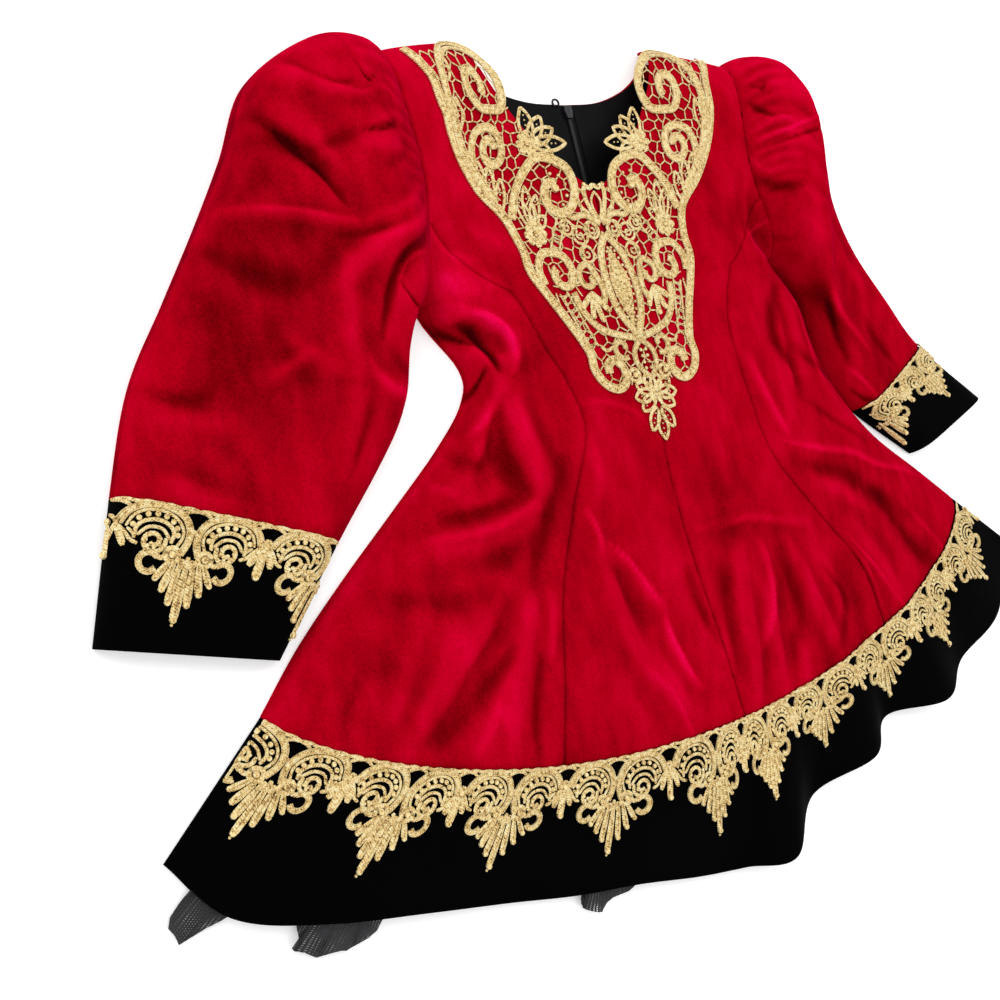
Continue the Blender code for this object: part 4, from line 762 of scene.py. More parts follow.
def makeRedVelvet():
    finish = Finish("redVelvet", Roughness=0.9, Sheen_Weight=redVelvet["sheen"], Sheen_Roughness=0.35,
                    Sheen_Tint=redVelvet["sheenTint"], Specular_IOR_Level=0.0)
    brushed, patches, creases, pile = (finish.noise(*redVelvet[kind + "Noise"])
                                       for kind in ("brush", "patch", "crease", "pile"))
    # The tone attribute is painted light and shade, and crest sets how strongly it shows. The noises after it
    # vary the colour at random.
    tone = redVelvet["tone"] + redVelvet["crest"] * finish.read("tone")
    tone = tone + (brushed - 0.5) * redVelvet["nap"] + (patches - 0.5) * redVelvet["patches"]
    tone = tone + (creases - 0.5) * redVelvet["creases"] + (pile - 0.5) * redVelvet["pile"]
    finish.feed("Base Color", finish.ramp(tone.limit(), redVelvet["shade"]))
    finish.feed("Roughness", (1.0 - 0.15 * brushed).limit())
    finish.bump(pile * 0.2 + creases + brushed * 2.0, 0.30, 0.0035)
    return finish.material


blackVelvet = {
    "shade": ((0.0, (0.0004, 0.0004, 0.0005)), (0.55, (0.0010, 0.0010, 0.0013)),
              (1.0, (0.010, 0.010, 0.012))),
    "sheen": 0.012,
    "tone": 0.30,
    "creases": 0.55,
    "nap": 0.5,
    "pile": 0.2,
    "brushNoise": (26, 2, (1, 0.5, 1), 0.4),
    "pileNoise": (950, 2),
}


def makeBlackVelvet():
    finish = Finish("blackVelvet", Roughness=0.95, Sheen_Weight=blackVelvet["sheen"], Sheen_Roughness=0.4,
                    Sheen_Tint=(0.55, 0.58, 0.65, 1), Specular_IOR_Level=0.02)
    brushed, pile = finish.noise(*blackVelvet["brushNoise"]), finish.noise(*blackVelvet["pileNoise"])
    # The tone attribute is painted light and shade on the folds, and creases sets how strongly it shows.
    tone = blackVelvet["tone"] + blackVelvet["creases"] * finish.read("tone")
    tone = tone + (brushed - 0.5) * blackVelvet["nap"] + (pile - 0.5) * blackVelvet["pile"]
    finish.feed("Base Color", finish.ramp(tone.limit(), blackVelvet["shade"]))
    finish.bump(pile, 0.2, 0.0005)
    return finish.material


goldThread = {
    "shade": ((0.0, (0.11, 0.045, 0.008)), (0.24, (0.38, 0.22, 0.060)), (0.46, (0.76, 0.52, 0.19)),
              (0.72, (0.96, 0.74, 0.34)), (1.0, (1.0, 0.91, 0.56))),
    "tone": 0.60,
    "layers": 0.16,
    "plies": 0.14,
    "spots": 2.6,
    "wear": 0.4,
    "twist": 40.0,
    "plyTurn": 12.566,
    "spotNoises": ((430, 1), (1150, 1)),
    "wearNoise": (60, 3),
}


def makeGoldThread():
    finish = Finish("goldThread", Roughness=0.5, Metallic=0.05, Specular_IOR_Level=0.35, Sheen_Weight=0.1,
                    Sheen_Tint=(1.0, 0.85, 0.5, 1))
    uv = finish.node("TexCoord", output="UV")
    along = finish.node("SeparateXYZ", i0=uv)
    across = Wire(finish.tree, along.socket.node.outputs[1])
    twist = (along * goldThread["twist"] + across * goldThread["plyTurn"]).sine()
    coarse, fine = (finish.noise(*noise) for noise in goldThread["spotNoises"])
    spots = coarse * 0.5 + fine * 0.5
    wear = finish.noise(*goldThread["wearNoise"])
    # The tone attribute is painted light and shade per cord: raised edge cords are painted lighter, the thin
    # veins down the petals painted darker.
    tone = goldThread["tone"] + goldThread["layers"] * finish.read("tone") + goldThread["plies"] * twist
    tone = tone + (spots - 0.5) * goldThread["spots"] + (wear - 0.5) * goldThread["wear"]
    finish.feed("Base Color", finish.ramp(tone.limit(), goldThread["shade"]))
    finish.feed("Roughness", (0.62 - 0.25 * spots).limit())
    finish.bump(twist * 0.5 + spots * 1.2, 0.8, 0.0006)
    return finish.material


liningCloth = {
    "shade": ((0.0, (0.0012, 0.0012, 0.0016)), (0.6, (0.0035, 0.0035, 0.0045)),
              (1.0, (0.014, 0.014, 0.018))),
    "tone": 0.45,
    "ripples": 0.35,
    "soft": 0.5,
    "threads": 0.25,
    "softNoise": (30, 2, (1, 0.3, 1)),
    "threadNoises": ((1500, 1, (1, 0.06, 1)), (1500, 1, (0.06, 1, 1))),
}


def makeLining():
    finish = Finish("blackLining", Roughness=0.6, Specular_IOR_Level=0.05)
    along, across = (finish.noise(*noise) for noise in liningCloth["threadNoises"])
    threads = (along + across) * 0.5
    soft = finish.noise(*liningCloth["softNoise"])
    # The tone attribute is painted light and shade on the lining's wrinkles.
    tone = liningCloth["tone"] + liningCloth["ripples"] * finish.read("tone")
    tone = tone + (soft - 0.5) * liningCloth["soft"] + (threads - 0.5) * liningCloth["threads"]
    finish.feed("Base Color", finish.ramp(tone.limit(), liningCloth["shade"]))
    finish.feed("Roughness", (0.36 + 0.2 * threads).limit())
    finish.bump(threads, 0.3, 0.0002)
    return finish.material


darkMetal = {"shade": ((0.3, (0.012, 0.012, 0.014)), (0.7, (0.05, 0.05, 0.055))), "marks": 600}


def makeMetal():
    finish = Finish("darkMetal", Metallic=0.7, Roughness=0.32)
    marks = finish.noise(darkMetal["marks"], 3)
    finish.feed("Base Color", finish.ramp(marks, darkMetal["shade"]))
    finish.feed("Roughness", (0.25 + 0.25 * marks).limit())
    finish.bump(marks, 0.15, 0.0002)
    return finish.material


zipCoil = {"shade": ((0.1, (0.002, 0.002, 0.002)), (0.95, (0.022, 0.022, 0.025))), "teeth": 5200.0,
           "groove": 2600.0}


def makeCoil():
    # Teeth across the zip, with the line where they mesh down its middle.
    finish = Finish("zipCoil", Roughness=0.4, Specular_IOR_Level=0.3)
    where = finish.node("SeparateXYZ", i0=finish.node("TexCoord", output="Object"))
    along = Wire(finish.tree, where.socket.node.outputs[1])
    teeth = (along * zipCoil["teeth"]).sine() * 0.5 + 0.5
    middle = (where * zipCoil["groove"]).sine() * 0.5 + 0.5
    wear = finish.noise(500, 2)
    tone = teeth * 0.6 + middle * 0.2 + wear * 0.25
    finish.feed("Base Color", finish.ramp(tone.limit(), zipCoil["shade"]))
    finish.feed("Roughness", (0.35 + 0.3 * wear).limit())
    finish.bump(teeth + middle * 0.5, 0.7, 0.0003)
    return finish.material


blackNet = {"shade": ((0.3, (0.003, 0.003, 0.004)), (0.75, (0.018, 0.018, 0.021))), "thread": 0.25,
            "crush": 2.4, "open": 0.30}


def makeNet():
    finish = Finish("blackNet", Roughness=0.6, Specular_IOR_Level=0.4)
    finish.material.surface_render_method = "DITHERED"
    where = finish.node("TexCoord", output="UV")
    cells = finish.node("TexVoronoi", {"feature": "DISTANCE_TO_EDGE", "voronoi_dimensions": "2D"},
                        Vector=where, Scale=1.0, Randomness=0.12)
    threads = cells.sum("LESS_THAN", cells, blackNet["thread"])
    crush = finish.noise(90, 4)
    finish.feed("Alpha", (threads + (crush - blackNet["open"]) * blackNet["crush"]).limit())
    finish.feed("Base Color", finish.ramp(crush, blackNet["shade"]))
    return finish.material


materials = {
    "red": makeRedVelvet(), "black": makeBlackVelvet(), "gold": makeGoldThread(), "lining": makeLining(),
    "metal": makeMetal(), "coil": makeCoil(), "net": makeNet(),
}
print("finishes made")


topLength = shoulder - underarm
seamTop = underarm + (armSteps[princess["top"]] + 1) / 2 * topLength
skirtShare = 0.56


def easeOf(u):
    # From 0 to 1, slow at both ends.
    return (np.sin(np.pi * (u - 0.5)) + 1) / 2


def frontPlace(v, last=1.0):
    # The place of each row of a front: even below the underarm, closer together at its ends above.
    v = v * last
    low = underarm * v / skirtShare
    above = np.clip((v - skirtShare) / (1 - skirtShare), 0, 1)
    high = underarm + easeOf(above) * topLength
    return np.where(v < skirtShare, low, high)


def meetArmhole(place):
    # Moves the two rows beside the top of the princess seam onto it.
    below, over = place[place <= seamTop].max(), place[place > seamTop].min()
    place = np.where(place == below, seamTop, place)
    return np.where(place == over, seamTop + 0.004, place)


def toEnds(u, amount=0.5):
    # Brings columns closer together at both ends.
    return blendOf(u, easeOf(u), amount)


seamLook = {"roll": 0.10, "rollWidth": 0.14, "pucker": 0.035, "puckerWidth": 0.5, "shade": 0.30, "far": 9.0}


def seamRoll(points, distance, along, seed):
    # The cloth rolls down into a seam, with small uneven puckers beside it.
    wave = np.sin(along * 4.6 + 2.3 * np.sin(along * 1.3 + seed)) * (0.6 + 0.4 * np.sin(along * 2.1 + seed))
    points[..., 2] -= seamLook["roll"] * np.exp(-((distance / seamLook["rollWidth"]) ** 2))
    near = np.exp(-((distance / seamLook["puckerWidth"]) ** 2))
    points[..., 2] += seamLook["pucker"] * wave * near
    return points


def halfWidthAt(place):
    return (smoothAt(bodyTable["rightX"], place) - smoothAt(bodyTable["leftX"], place)) / 2


def rollFront(points, s, distance, edge):
    # Rolls a front panel into the seams beside it and into the hem seam.
    points = seamRoll(points, distance, points[:, 1], 1.0 + edge)
    hem = bodyPoint(np.zeros_like(s), s)[:, 1]
    return seamRoll(points, np.abs(points[:, 1] - hem), points[:, 0], 2.0)


def finishFront(piece, points, tone, distance, node):
    # The colour is painted darker close to the seams, as painted shade where the cloth rolls into them.
    layCloth(piece, points, tone - seamLook["shade"] * np.exp(-((distance / seamLook["rollWidth"]) ** 2)))
    finishPiece(piece, materials["red"], [node])


frontGrid = {"centre": (92, 190), "side": (70, 150)}


def addFrontPanels():
    gap = seamGap / 2 / halfWidthAt(3.0)
    for side, edge in (("left", -1.0), ("right", 1.0)):
        columns, rows = frontGrid["centre"]
        piece, u, v = gridPiece("centreFront" + side.title(), columns, rows)
        place = meetArmhole(frontPlace(v))
        start = np.where(place > seamTop + 0.002, edge, princessShare(place, side) - gap * edge)
        end = neckShare(place, side) + gap * edge
        s = blendOf(start, end, toEnds(u))
        points = bodyPoint(place, s)
        width = halfWidthAt(place)
        tone = paintedLightTone(points, u, v, columns, rows, "body")
        inner = np.where(points[:, 1] < frontNeck["y"][0] + 0.2, np.abs(s - end) * width, seamLook["far"])
        outer = np.where(place <= seamTop, np.abs(s - start) * width, np.abs(s - edge) * width)
        distance = np.minimum(inner, outer)
        points = rollFront(points, s, distance, edge)
        finishFront(piece, points, tone, distance, "centre_front_" + side)

        columns, rows = frontGrid["side"]
        piece, u, v = gridPiece("sideFront" + side.title(), columns, rows)
        place = frontPlace(v, skirtShare + (1 - skirtShare) * princess["top"] / (len(armSteps) - 1))
        end = princessShare(place, side) + gap * edge
        s = blendOf(edge, end, toEnds(u ** 1.25))
        points = bodyPoint(place, s)
        width = halfWidthAt(place)
        tone = paintedLightTone(points, u, v, columns, rows, "body")
        distance = np.abs(s - end) * width
        points = rollFront(points, s, distance, edge)
        points[:, 2] = np.maximum(points[:, 2], cloth["edge"])
        finishFront(piece, points, tone, distance, "side_front_" + side)


addFrontPanels()
print("fronts made")


hemBand = {"grid": (340, 34), "depth": 5.0}


def addHemBand():
    columns, rows = hemBand["grid"]
    piece, u, v = gridPiece("hemBandFront", columns, rows)
    s = np.sin(np.pi * (u - 0.5)) * 0.35 + (2 * u - 1) * 0.65
    down = blendOf(seamGap / hemBand["depth"], 1.0, 1 - v)
    points = bandPoint(down, s)
    tone = paintedLightTone(points, u, v, columns, rows)
    points = seamRoll(points, down * hemBand["depth"], points[:, 0], 2.0)
    points[:, 2] = np.maximum(points[:, 2], cloth["edge"])
    layCloth(piece, points, tone)
    finishPiece(piece, materials["black"], ["hem_band_front"])


addHemBand()


def flatPatch(name, columns, rows, bottom, top, left, right, low, high):
    # A flat piece between four edge curves, each given as a function of a share from 0 to 1.
    piece, u, v = gridPiece(name, columns, rows)
    corners = [curve(np.array([end]))[0] for curve in (bottom, top) for end in (0.0, 1.0)]
    u1, v1 = u[:, None], v[:, None]
    flat = ((1 - v1) * bottom(u) + v1 * top(u) + (1 - u1) * left(v) + u1 * right(v)
            - (1 - u1) * (1 - v1) * corners[0] - u1 * (1 - v1) * corners[1]
            - (1 - u1) * v1 * corners[2] - u1 * v1 * corners[3])
    layCloth(piece, np.column_stack([flat, np.full(len(u), high)]), np.zeros(len(u)), (high - low) * cm)
    return piece


def alongLine(corners):
    corners = np.array(corners, float)
    steps = np.concatenate([[0], np.cumsum(np.linalg.norm(np.diff(corners, axis=0), axis=1))])
    steps /= steps[-1]
    return lambda t: np.column_stack([np.interp(t, steps, corners[:, k]) for k in (0, 1)])


def addBack():
    wall = cloth["velvet"] / cm
    for side, sign in (("left", -1.0), ("right", 1.0)):
        middle = centreBack + sign * seamGap / 2
        centre = float(shareAt(np.array(0.0), np.array(middle)))
        neck = [(smoothAt(backNeck[side + "X"], p / 4), smoothAt(backNeck["y"], p / 4))
                for p in range(12, 0, -1)]
        top = alongLine([bodyPoint(float(shoulder), sign)[:2]] + neck + [(middle, backNeck["y"][0])])
        low = bodyPoint(0.0, centre)[:2]
        edge = lambda t: bodyPoint(t * shoulder, np.full_like(t, sign))[:, :2]
        hem = lambda t: bodyPoint(np.zeros_like(t), blendOf(sign, centre, t))[:, :2]
        piece = flatPatch("back" + side.title(), 40, 70, hem, top, edge,
                          alongLine([low, (middle, backNeck["y"][0])]), 0.0, wall)
        finishPiece(piece, materials["red"], ["back_" + side])
    seam = lambda t: bodyPoint(np.zeros_like(t), 2 * t - 1)[:, :2] - np.array([0, seamGap])
    foot = lambda t: hemAt(t * hemLast)
    ends = [[foot(np.array([t]))[0], seam(np.array([t]))[0]] for t in (0.0, 1.0)]
    piece = flatPatch("hemBandBack", 160, 10, foot, seam, alongLine(ends[0]), alongLine(ends[1]), 0.0, wall)
    finishPiece(piece, materials["black"], ["hem_band_back"])


addBack()
print("back made")


# The share of a tube's columns that lies on its upper face, and the two grids.
tubeGrid = {"topShare": 0.78, "sleeve": (150, 150), "cuff": (120, 40)}


def addTube(name, side, placeOf, columns, rows, material, slotName, node, flat, area):
    piece, u, v = gridPiece(name, columns, rows)
    topShare = tubeGrid["topShare"]
    place = placeOf(v)
    onTop = u <= topShare
    s = np.where(onTop, np.sin(np.pi * (np.minimum(u / topShare, 1) - 0.5)),
                 1 - 2 * np.clip((u - topShare) / (1 - topShare), 0, 1))
    points = sleevePoint(side, place, s)
    away = -1.0 if side == "left" else 1.0
    points[:, 0] += away * seamGap * np.maximum(0.0, 1 - place * 8)
    below = u > topShare
    under = np.clip((u - topShare) / (1 - topShare), 0, 1)
    tone = paintedLightTone(points, u, v, columns, rows, side if slotName == "red_velvet" else None)
    tone[below] = 0
    seamDistance = np.minimum(place * 1.8, np.abs(place - cuffSeam) * 4.6)
    points = seamRoll(points, np.where(below, seamLook["far"], seamDistance), s * 8, 0.5)
    points[:, 2] = np.maximum(points[:, 2], cloth["edge"])
    points[below & (under > 0.002), 2] = 0.0
    # The two ends of each ring meet where the underside comes back to the inner edge.
    points[(u > 0.9999), 2] = cloth["edge"]
    setPoints(piece, points)
    setTone(piece, tone)
    editWhole(piece, lambda: bpy.ops.mesh.remove_doubles(threshold=0.00002))
    turnOutward(piece, lambda at: np.column_stack([np.zeros(len(at)), np.zeros(len(at)), at[:, 2] - 0.004]))
    thicken(piece)
    inside = readPoints(piece)
    inside[:, 2] = np.maximum(inside[:, 2], 0.0)
    piece.data.vertices.foreach_set("co", inside.ravel())
    piece.data.update()
    finishPiece(piece, material, [node])


def addSleeves():
    gap = seamGap / 2 / 7
    for side in ("left", "right"):
        addTube("sleeve" + side.title(), side, lambda v: (cuffSeam - gap) * v ** 1.15, *tubeGrid["sleeve"],
                materials["red"], "red_velvet", "sleeve_" + side, (0.33, 0.33),
                0.089 if side == "left" else 0.054)
        addTube("cuff" + side.title(), side, lambda v: blendOf(cuffSeam + gap, cuffEnd, v), *tubeGrid["cuff"],
                materials["black"], "black_velvet", "cuff_" + side, (0.24, 0.09), 0.017)


addSleeves()
print("sleeves made")


def addUv(piece, uv):
    layer = piece.data.uv_layers.get("UVMap") or piece.data.uv_layers.new(name="UVMap")
    corners = np.zeros(len(piece.data.loops), dtype=np.int32)
    piece.data.loops.foreach_get("vertex_index", corners)
    layer.data.foreach_set("uv", np.asarray(uv, float)[corners].ravel())


liningLook = {"foot": 11.0, "side": 10.5, "inset": 0.06, "thickness": 0.10, "wrinkle": 0.05, "tape": 1.1}
onBack = (cloth["velvet"] + cloth["seamGap"]) / cm


def addLining():
    inset = liningLook["inset"]
    for side, sign in (("left", -1.0), ("right", 1.0)):
        middle = centreBack + sign * (liningLook["tape"] / 2 + seamGap)
        rows = [p / 4 for p in range(1, 11)]
        neck = [(smoothAt(backNeck[side + "X"], p) + sign * inset, smoothAt(backNeck["y"], p) - inset)
                for p in rows]
        neck = [(middle, backNeck["y"][0] - inset)] + neck + [(sign * liningLook["side"], 27.0)]
        low = (middle, liningLook["foot"])
        corner = (sign * liningLook["side"], liningLook["foot"])
        piece = flatPatch("lining" + side.title(), 50, 70, alongLine([low, corner]), alongLine(neck),
                          alongLine([low, neck[0]]), alongLine([corner, neck[-1]]), onBack,
                          onBack + liningLook["thickness"])
        points = (readPoints(piece) - toFrame) * 100
        x, y = points[:, 0], points[:, 1]
        ripple = (np.sin(x * 2.1 + 0.9 * np.sin(y * 0.8)) * 0.5 + np.sin(y * 1.7 - x * 0.9 + 1.1) * 0.5)
        near = np.exp(-np.abs(x - middle) / 3.5)
        points[:, 2] += liningLook["wrinkle"] * (0.5 + 0.5 * ripple) * (0.35 + 0.65 * near)
        setPoints(piece, points)
        # The colour is painted lighter on the wrinkles' crests and darker in their troughs, as painted light
        # and shade.
        piece.data.attributes["tone"].data.foreach_set("value", 0.8 * ripple * near)
        finishPiece(piece, materials["lining"], ["lining_" + side])


def addZip():
    low, high = liningLook["foot"], backNeck["y"][0] - liningLook["inset"]
    half = liningLook["tape"] / 2
    line = lambda x: alongLine([(x, low), (x, high)])
    across = lambda y: alongLine([(centreBack - half, y), (centreBack + half, y)])
    piece = flatPatch("zipTape", 12, 80, across(low), across(high), line(centreBack - half),
                      line(centreBack + half), onBack, onBack + 0.08)
    finishPiece(piece, materials["lining"], ["zip_tape"])


addLining()
addZip()
for name, material in (("zip_coil", "coil"), ("zip_slider", "metal"), ("neck_hook", "metal")):
    for slot in bpy.data.objects[name].material_slots:
        slot.material = materials[material]


netLook = {"cell": 0.11, "flutes": 64, "wave": 0.20, "sway": (0.10, 0.16), "rise": 0.14, "thickness": 0.0008,
           "rowLength": 4.6, "depth": 8.0}
netCorners = ((0.5, 1.0, -38.0, -16.4, -37.5, -17.8), (1.7, 2.7, -32.2, -20.4, -29.4, -21.5),
              (5.2, 6.1, -14.4, -25.3, -12.8, -26.0))


def addNet():
    def edgeAt(place, inset):
        seam = bodyPoint(np.array(0.0), np.array(place / hemLast * 2 - 1))[:2]
        foot = hemAt(place)
        return foot + (seam - foot) / np.linalg.norm(seam - foot) * inset, blendOf(seam, foot, 0.25)

    places, foot = [], []
    for i in range(2, 2 * hemLast - 1):
        place = i / 2
        if not any(row[0] - 0.3 < place < row[1] + 0.3 for row in netCorners):
            places.append(place)
            foot.append(edgeAt(place, 1.3)[0])
    for before, after, x1, y1, x2, y2 in netCorners:
        third = (after - before) / 3
        for place, point in ((before, edgeAt(before, 0.4)[0]), (before + third, (x1, y1)),
                             (after - third, (x2, y2)), (after, edgeAt(after, 0.4)[0])):
            places.append(place)
            foot.append(point)
    order = np.argsort(places)
    places, foot = np.array(places)[order], np.array(foot, float)[order]
    piece, u, v = gridPiece("netUnderskirt", 320, 20)
    place = blendOf(places[0], places[-1], u)
    low = np.column_stack([np.interp(place, places, foot[:, k]) for k in (0, 1)])
    seam = bodyPoint(np.zeros_like(place), place / hemLast * 2 - 1)[:, :2]
    high = blendOf(seam, hemAt(place), 0.25)
    flat = blendOf(low, high, v[:, None])
    free = np.clip(1 - v * 2.5, 0, 1)
    wave = np.sin(u * 2 * np.pi * netLook["flutes"] + 1.5 * np.sin(u * 60)) * free
    flat[:, 0] += netLook["sway"][0] * np.cos(u * 2 * np.pi * netLook["flutes"]) * free
    flat[:, 1] += netLook["sway"][1] * np.sin(u * 311) * free
    # At the left corner the net lies lower.
    slack = np.clip((place - 0.6) / 0.9, 0.1, 1.0)
    height = onBack + netLook["rise"] * slack + netLook["wave"] * (1 + wave) * free * slack
    setPoints(piece, np.column_stack([flat, height]))
    setTone(piece, wave)
    turnOutward(piece)
    addUv(piece, np.column_stack([place * netLook["rowLength"], v * netLook["depth"]]) / netLook["cell"])
    thicken(piece, netLook["thickness"])
    finishPiece(piece, materials["net"], ["net_underskirt"])


addNet()
print("lining, zip and net made")


laceLook = {"lift": 0.045, "step": 0.15, "bar": 0.11, "cell": 0.92, "sides": 6, "bead": (7, 4),
            "uneven": 0.006, "tip": 0.7, "dome": 0.8, "beadRise": 0.55, "beadTone": 0.35}


def alongCurve(points, closed=False):
    # Evenly spaced points on a smooth curve through a few points.
    points = np.asarray(points, float)
    if closed:
        points = np.vstack([points[-1:], points, points[:2]])
    ends = (1, len(points) - 2) if closed else (0, len(points) - 1)
    place = np.linspace(*ends, 14 * (len(points) - 1) + 1)
    fine = np.column_stack([smoothAt(points[:, k], place) for k in (0, 1)])
    length = np.concatenate([[0], np.cumsum(np.linalg.norm(np.diff(fine, axis=0), axis=1))])
    count = max(4, int(round(length[-1] / laceLook["step"])) + 1)
    spot = np.linspace(0, length[-1], count)
    return np.column_stack([np.interp(spot, length, fine[:, k]) for k in (0, 1)])


def besideCurve(points, distance):
    way = np.gradient(points, axis=0)
    way /= np.maximum(np.linalg.norm(way, axis=1, keepdims=True), 1e-9)
    return points + np.column_stack([-way[:, 1], way[:, 0]]) * distance


def arcPoints(centre, start, end, fromAngle, toAngle, squash=1.0):
    # Part of a ring or spiral: its radius goes from start to end.
    count = max(4, int(abs(toAngle - fromAngle) / 40) + 1)
    turn = np.radians(np.linspace(fromAngle, toAngle, count))
    radius = np.linspace(start, end, count)
    return [(centre[0] + r * squash * math.cos(t), centre[1] + r * math.sin(t)) for r, t in zip(radius, turn)]


def acrossOf(base, tip, width):
    # Half the width, at right angles to the line from base to tip.
    side = np.array([-(tip - base)[1], (tip - base)[0]])
    return side / np.linalg.norm(side) * width / 2


class Lace:
    # Cords and beads drawn flat, in centimetres, then laid on a panel all together.
    def __init__(self):
        self.cords = []
        self.beads = []
        self.shift = 0.0
        self.flips = (1,)
        self.keep = None

    def cord(self, points, width, height=0.10, tone=0.0, closed=False, layer=0.0):
        base = np.asarray(points, float) if closed is None else alongCurve(points, closed)
        for flip in self.flips:
            flat = base * (flip, 1) + (self.shift, 0)
            runs = [flat]
            if self.keep is not None:
                inside = self.keep(flat)
                cuts = np.nonzero(np.diff(inside.astype(int)))[0] + 1
                runs = [run for run, kept in zip(np.split(flat, cuts), np.split(inside, cuts)) if kept[0]]
            for run in runs:
                if len(run) > 2:
                    share = np.linspace(0, 1, len(run))
                    wide = np.interp(share, np.linspace(0, 1, np.size(width)), np.atleast_1d(width))
                    whole = bool(closed) and len(run) == len(flat)
                    self.cords.append((run, wide, height, tone, whole, layer))

    def band(self, points, width, tone=0.0, closed=False, layer=0.0):
        # Two flat rows of satin stitch side by side, with a stitched edge on each side that is painted
        # lighter, as a painted highlight.
        middle = alongCurve(points, closed)
        for side in (-1, 1):
            self.cord(besideCurve(middle, side * width * 0.22), width * 0.52, 0.10, tone, None, layer)
            self.cord(besideCurve(middle, side * width * 0.48), width * 0.20, 0.15, tone + 0.25, None, layer)

    def ring(self, centre, radius, width, tone=0.0):
        self.cord(arcPoints(centre, radius, radius, 0, 315), width, 0.11, tone, True)

    def bead(self, centre, radius):
        for flip in self.flips:
            x, y = centre[0] * flip + self.shift, centre[1]
            if self.keep is None or self.keep(np.array([[x, y]]))[0]:
                self.beads.append((x, y, radius))

    def beadRing(self, centre, wide, high, count, radius, start=0.0):
        for k in range(count):
            turn = 2 * math.pi * k / count + start
            self.bead((centre[0] + wide * math.cos(turn), centre[1] + high * math.sin(turn)), radius)

    def leaf(self, base, tip, width, edge=0.17):
        # An outlined leaf with a dotted vein.
        base, tip = np.array(base, float), np.array(tip, float)
        side = acrossOf(base, tip, width)
        at = lambda t, s: base + (tip - base) * t + side * s
        self.cord([at(0, 0), at(0.3, 0.9), at(0.68, 0.95), at(0.99, 0.2), at(0.99, -0.2), at(0.68, -0.95),
                   at(0.3, -0.9)], edge, 0.13, 0.1, True)
        for t in np.arange(0.25, 0.85, 0.34 / max(np.linalg.norm(tip - base), 0.4)):
            self.bead(at(t, 0), 0.07)

    def petal(self, base, tip, width):
        base, tip = np.array(base, float), np.array(tip, float)
        self.cord([base, (base + tip) / 2, tip], [width * 0.5, width * 0.85, width, width * 0.95], 0.14, 0.1)

    def daisy(self, centre, radius, count=7, start=0.0):
        for k in range(count):
            turn = math.radians(start) + 2 * math.pi * k / count
            way = np.array([math.cos(turn), math.sin(turn)])
            self.petal(np.array(centre) + way * radius * 0.25, np.array(centre) + way * radius, radius * 0.62)
        self.bead(centre, radius * 0.24)

    def ladder(self, base, tip, width, rungs):
        base, tip = np.array(base, float), np.array(tip, float)
        side = acrossOf(base, tip, width)
        for s in (-1, 1):
            self.cord([base + side * s, (base + tip) / 2 + side * s, tip + side * s], 0.14, 0.11, 0.1)
        for k in range(rungs):
            low, high = base + (tip - base) * (k + 0.3) / rungs, base + (tip - base) * (k + 0.8) / rungs
            self.cord([low - side, (low + high) / 2, high + side], 0.09, 0.08)
            self.cord([low + side, (low + high) / 2, high - side], 0.09, 0.08)

    def build(self, name, surface, nodes, holdsOn, flat, area):
        sides = laceLook["sides"]
        beadSpots = np.array([bead[:2] for bead in self.beads]).reshape(-1, 2)
        flats = np.vstack([run for run, *_ in self.cords] + [beadSpots])
        middles, facings = surface(flats)
        points, faces, uvs, tones = [], [], [], []
        start, base = 0, 0
        angles = 2 * np.pi * np.arange(sides) / sides
        for number, (run, wide, height, tone, closed, layer) in enumerate(self.cords):
            count = len(run)
            middle, facing = middles[start:start + count], facings[start:start + count]
            start += count
            way = np.gradient(middle, axis=0)
            if closed:
                way[0] = way[-1] = middle[1] - middle[-2]
            side = np.cross(facing, way)
            side /= np.maximum(np.linalg.norm(side, axis=1, keepdims=True), 1e-9)
            taper = np.ones(count)
            if not closed:
                taper[[0, -1]] = laceLook["tip"]
            lift = laceLook["lift"] + height / 2 + layer + laceLook["uneven"] * math.sin(number * 2.399)
            ring = (middle[:, None] + facing[:, None] * (lift + height / 2 * np.sin(angles))[None, :, None]
                    + side[:, None] * (wide * taper / 2)[:, None, None] * np.cos(angles)[None, :, None])
            length = np.concatenate([[0], np.cumsum(np.linalg.norm(np.diff(middle, axis=0), axis=1))])
            if closed:
                ring = ring[:-1]
            rings = len(ring)
            points.append(ring.reshape(-1, 3))
            uvs.append(np.column_stack([np.repeat(length[:rings], sides) + number * 0.37,
                                        np.tile(angles / (2 * np.pi), rings)]))
            tones.append(np.full(rings * sides, tone))
            last = rings if closed else rings - 1
            for i in range(last):
                a, b = base + i * sides, base + (i + 1) % rings * sides
                faces.extend((a + k, b + k, b + (k + 1) % sides, a + (k + 1) % sides) for k in range(sides))
            if not closed:
                faces.append(tuple(range(base, base + sides)))
                end = base + (rings - 1) * sides
                faces.append(tuple(range(end + sides - 1, end - 1, -1)))
            base += rings * sides
        around, levels = laceLook["bead"]
        for (*_, radius), middle, facing in zip(self.beads, middles[start:], facings[start:]):
            east = np.cross(facing, (0.3, 1, 0.1))
            east /= np.linalg.norm(east)
            north = np.cross(facing, east)
            heart = middle + facing * (laceLook["lift"] + radius * laceLook["beadRise"])
            rows = [heart - facing * radius * 0.6]
            for j in range(1, levels):
                tilt = math.pi * (j / levels - 0.5)
                for k in range(around):
                    turn = 2 * math.pi * k / around
                    out = (east * math.cos(turn) + north * math.sin(turn)) * math.cos(tilt)
                    rows.append(heart + (out + facing * laceLook["dome"] * math.sin(tilt)) * radius)
            rows.append(heart + facing * radius * laceLook["dome"])
            points.append(np.array(rows))
            uvs.append(np.column_stack([np.linspace(0, 0.3, len(rows)), np.zeros(len(rows))]))
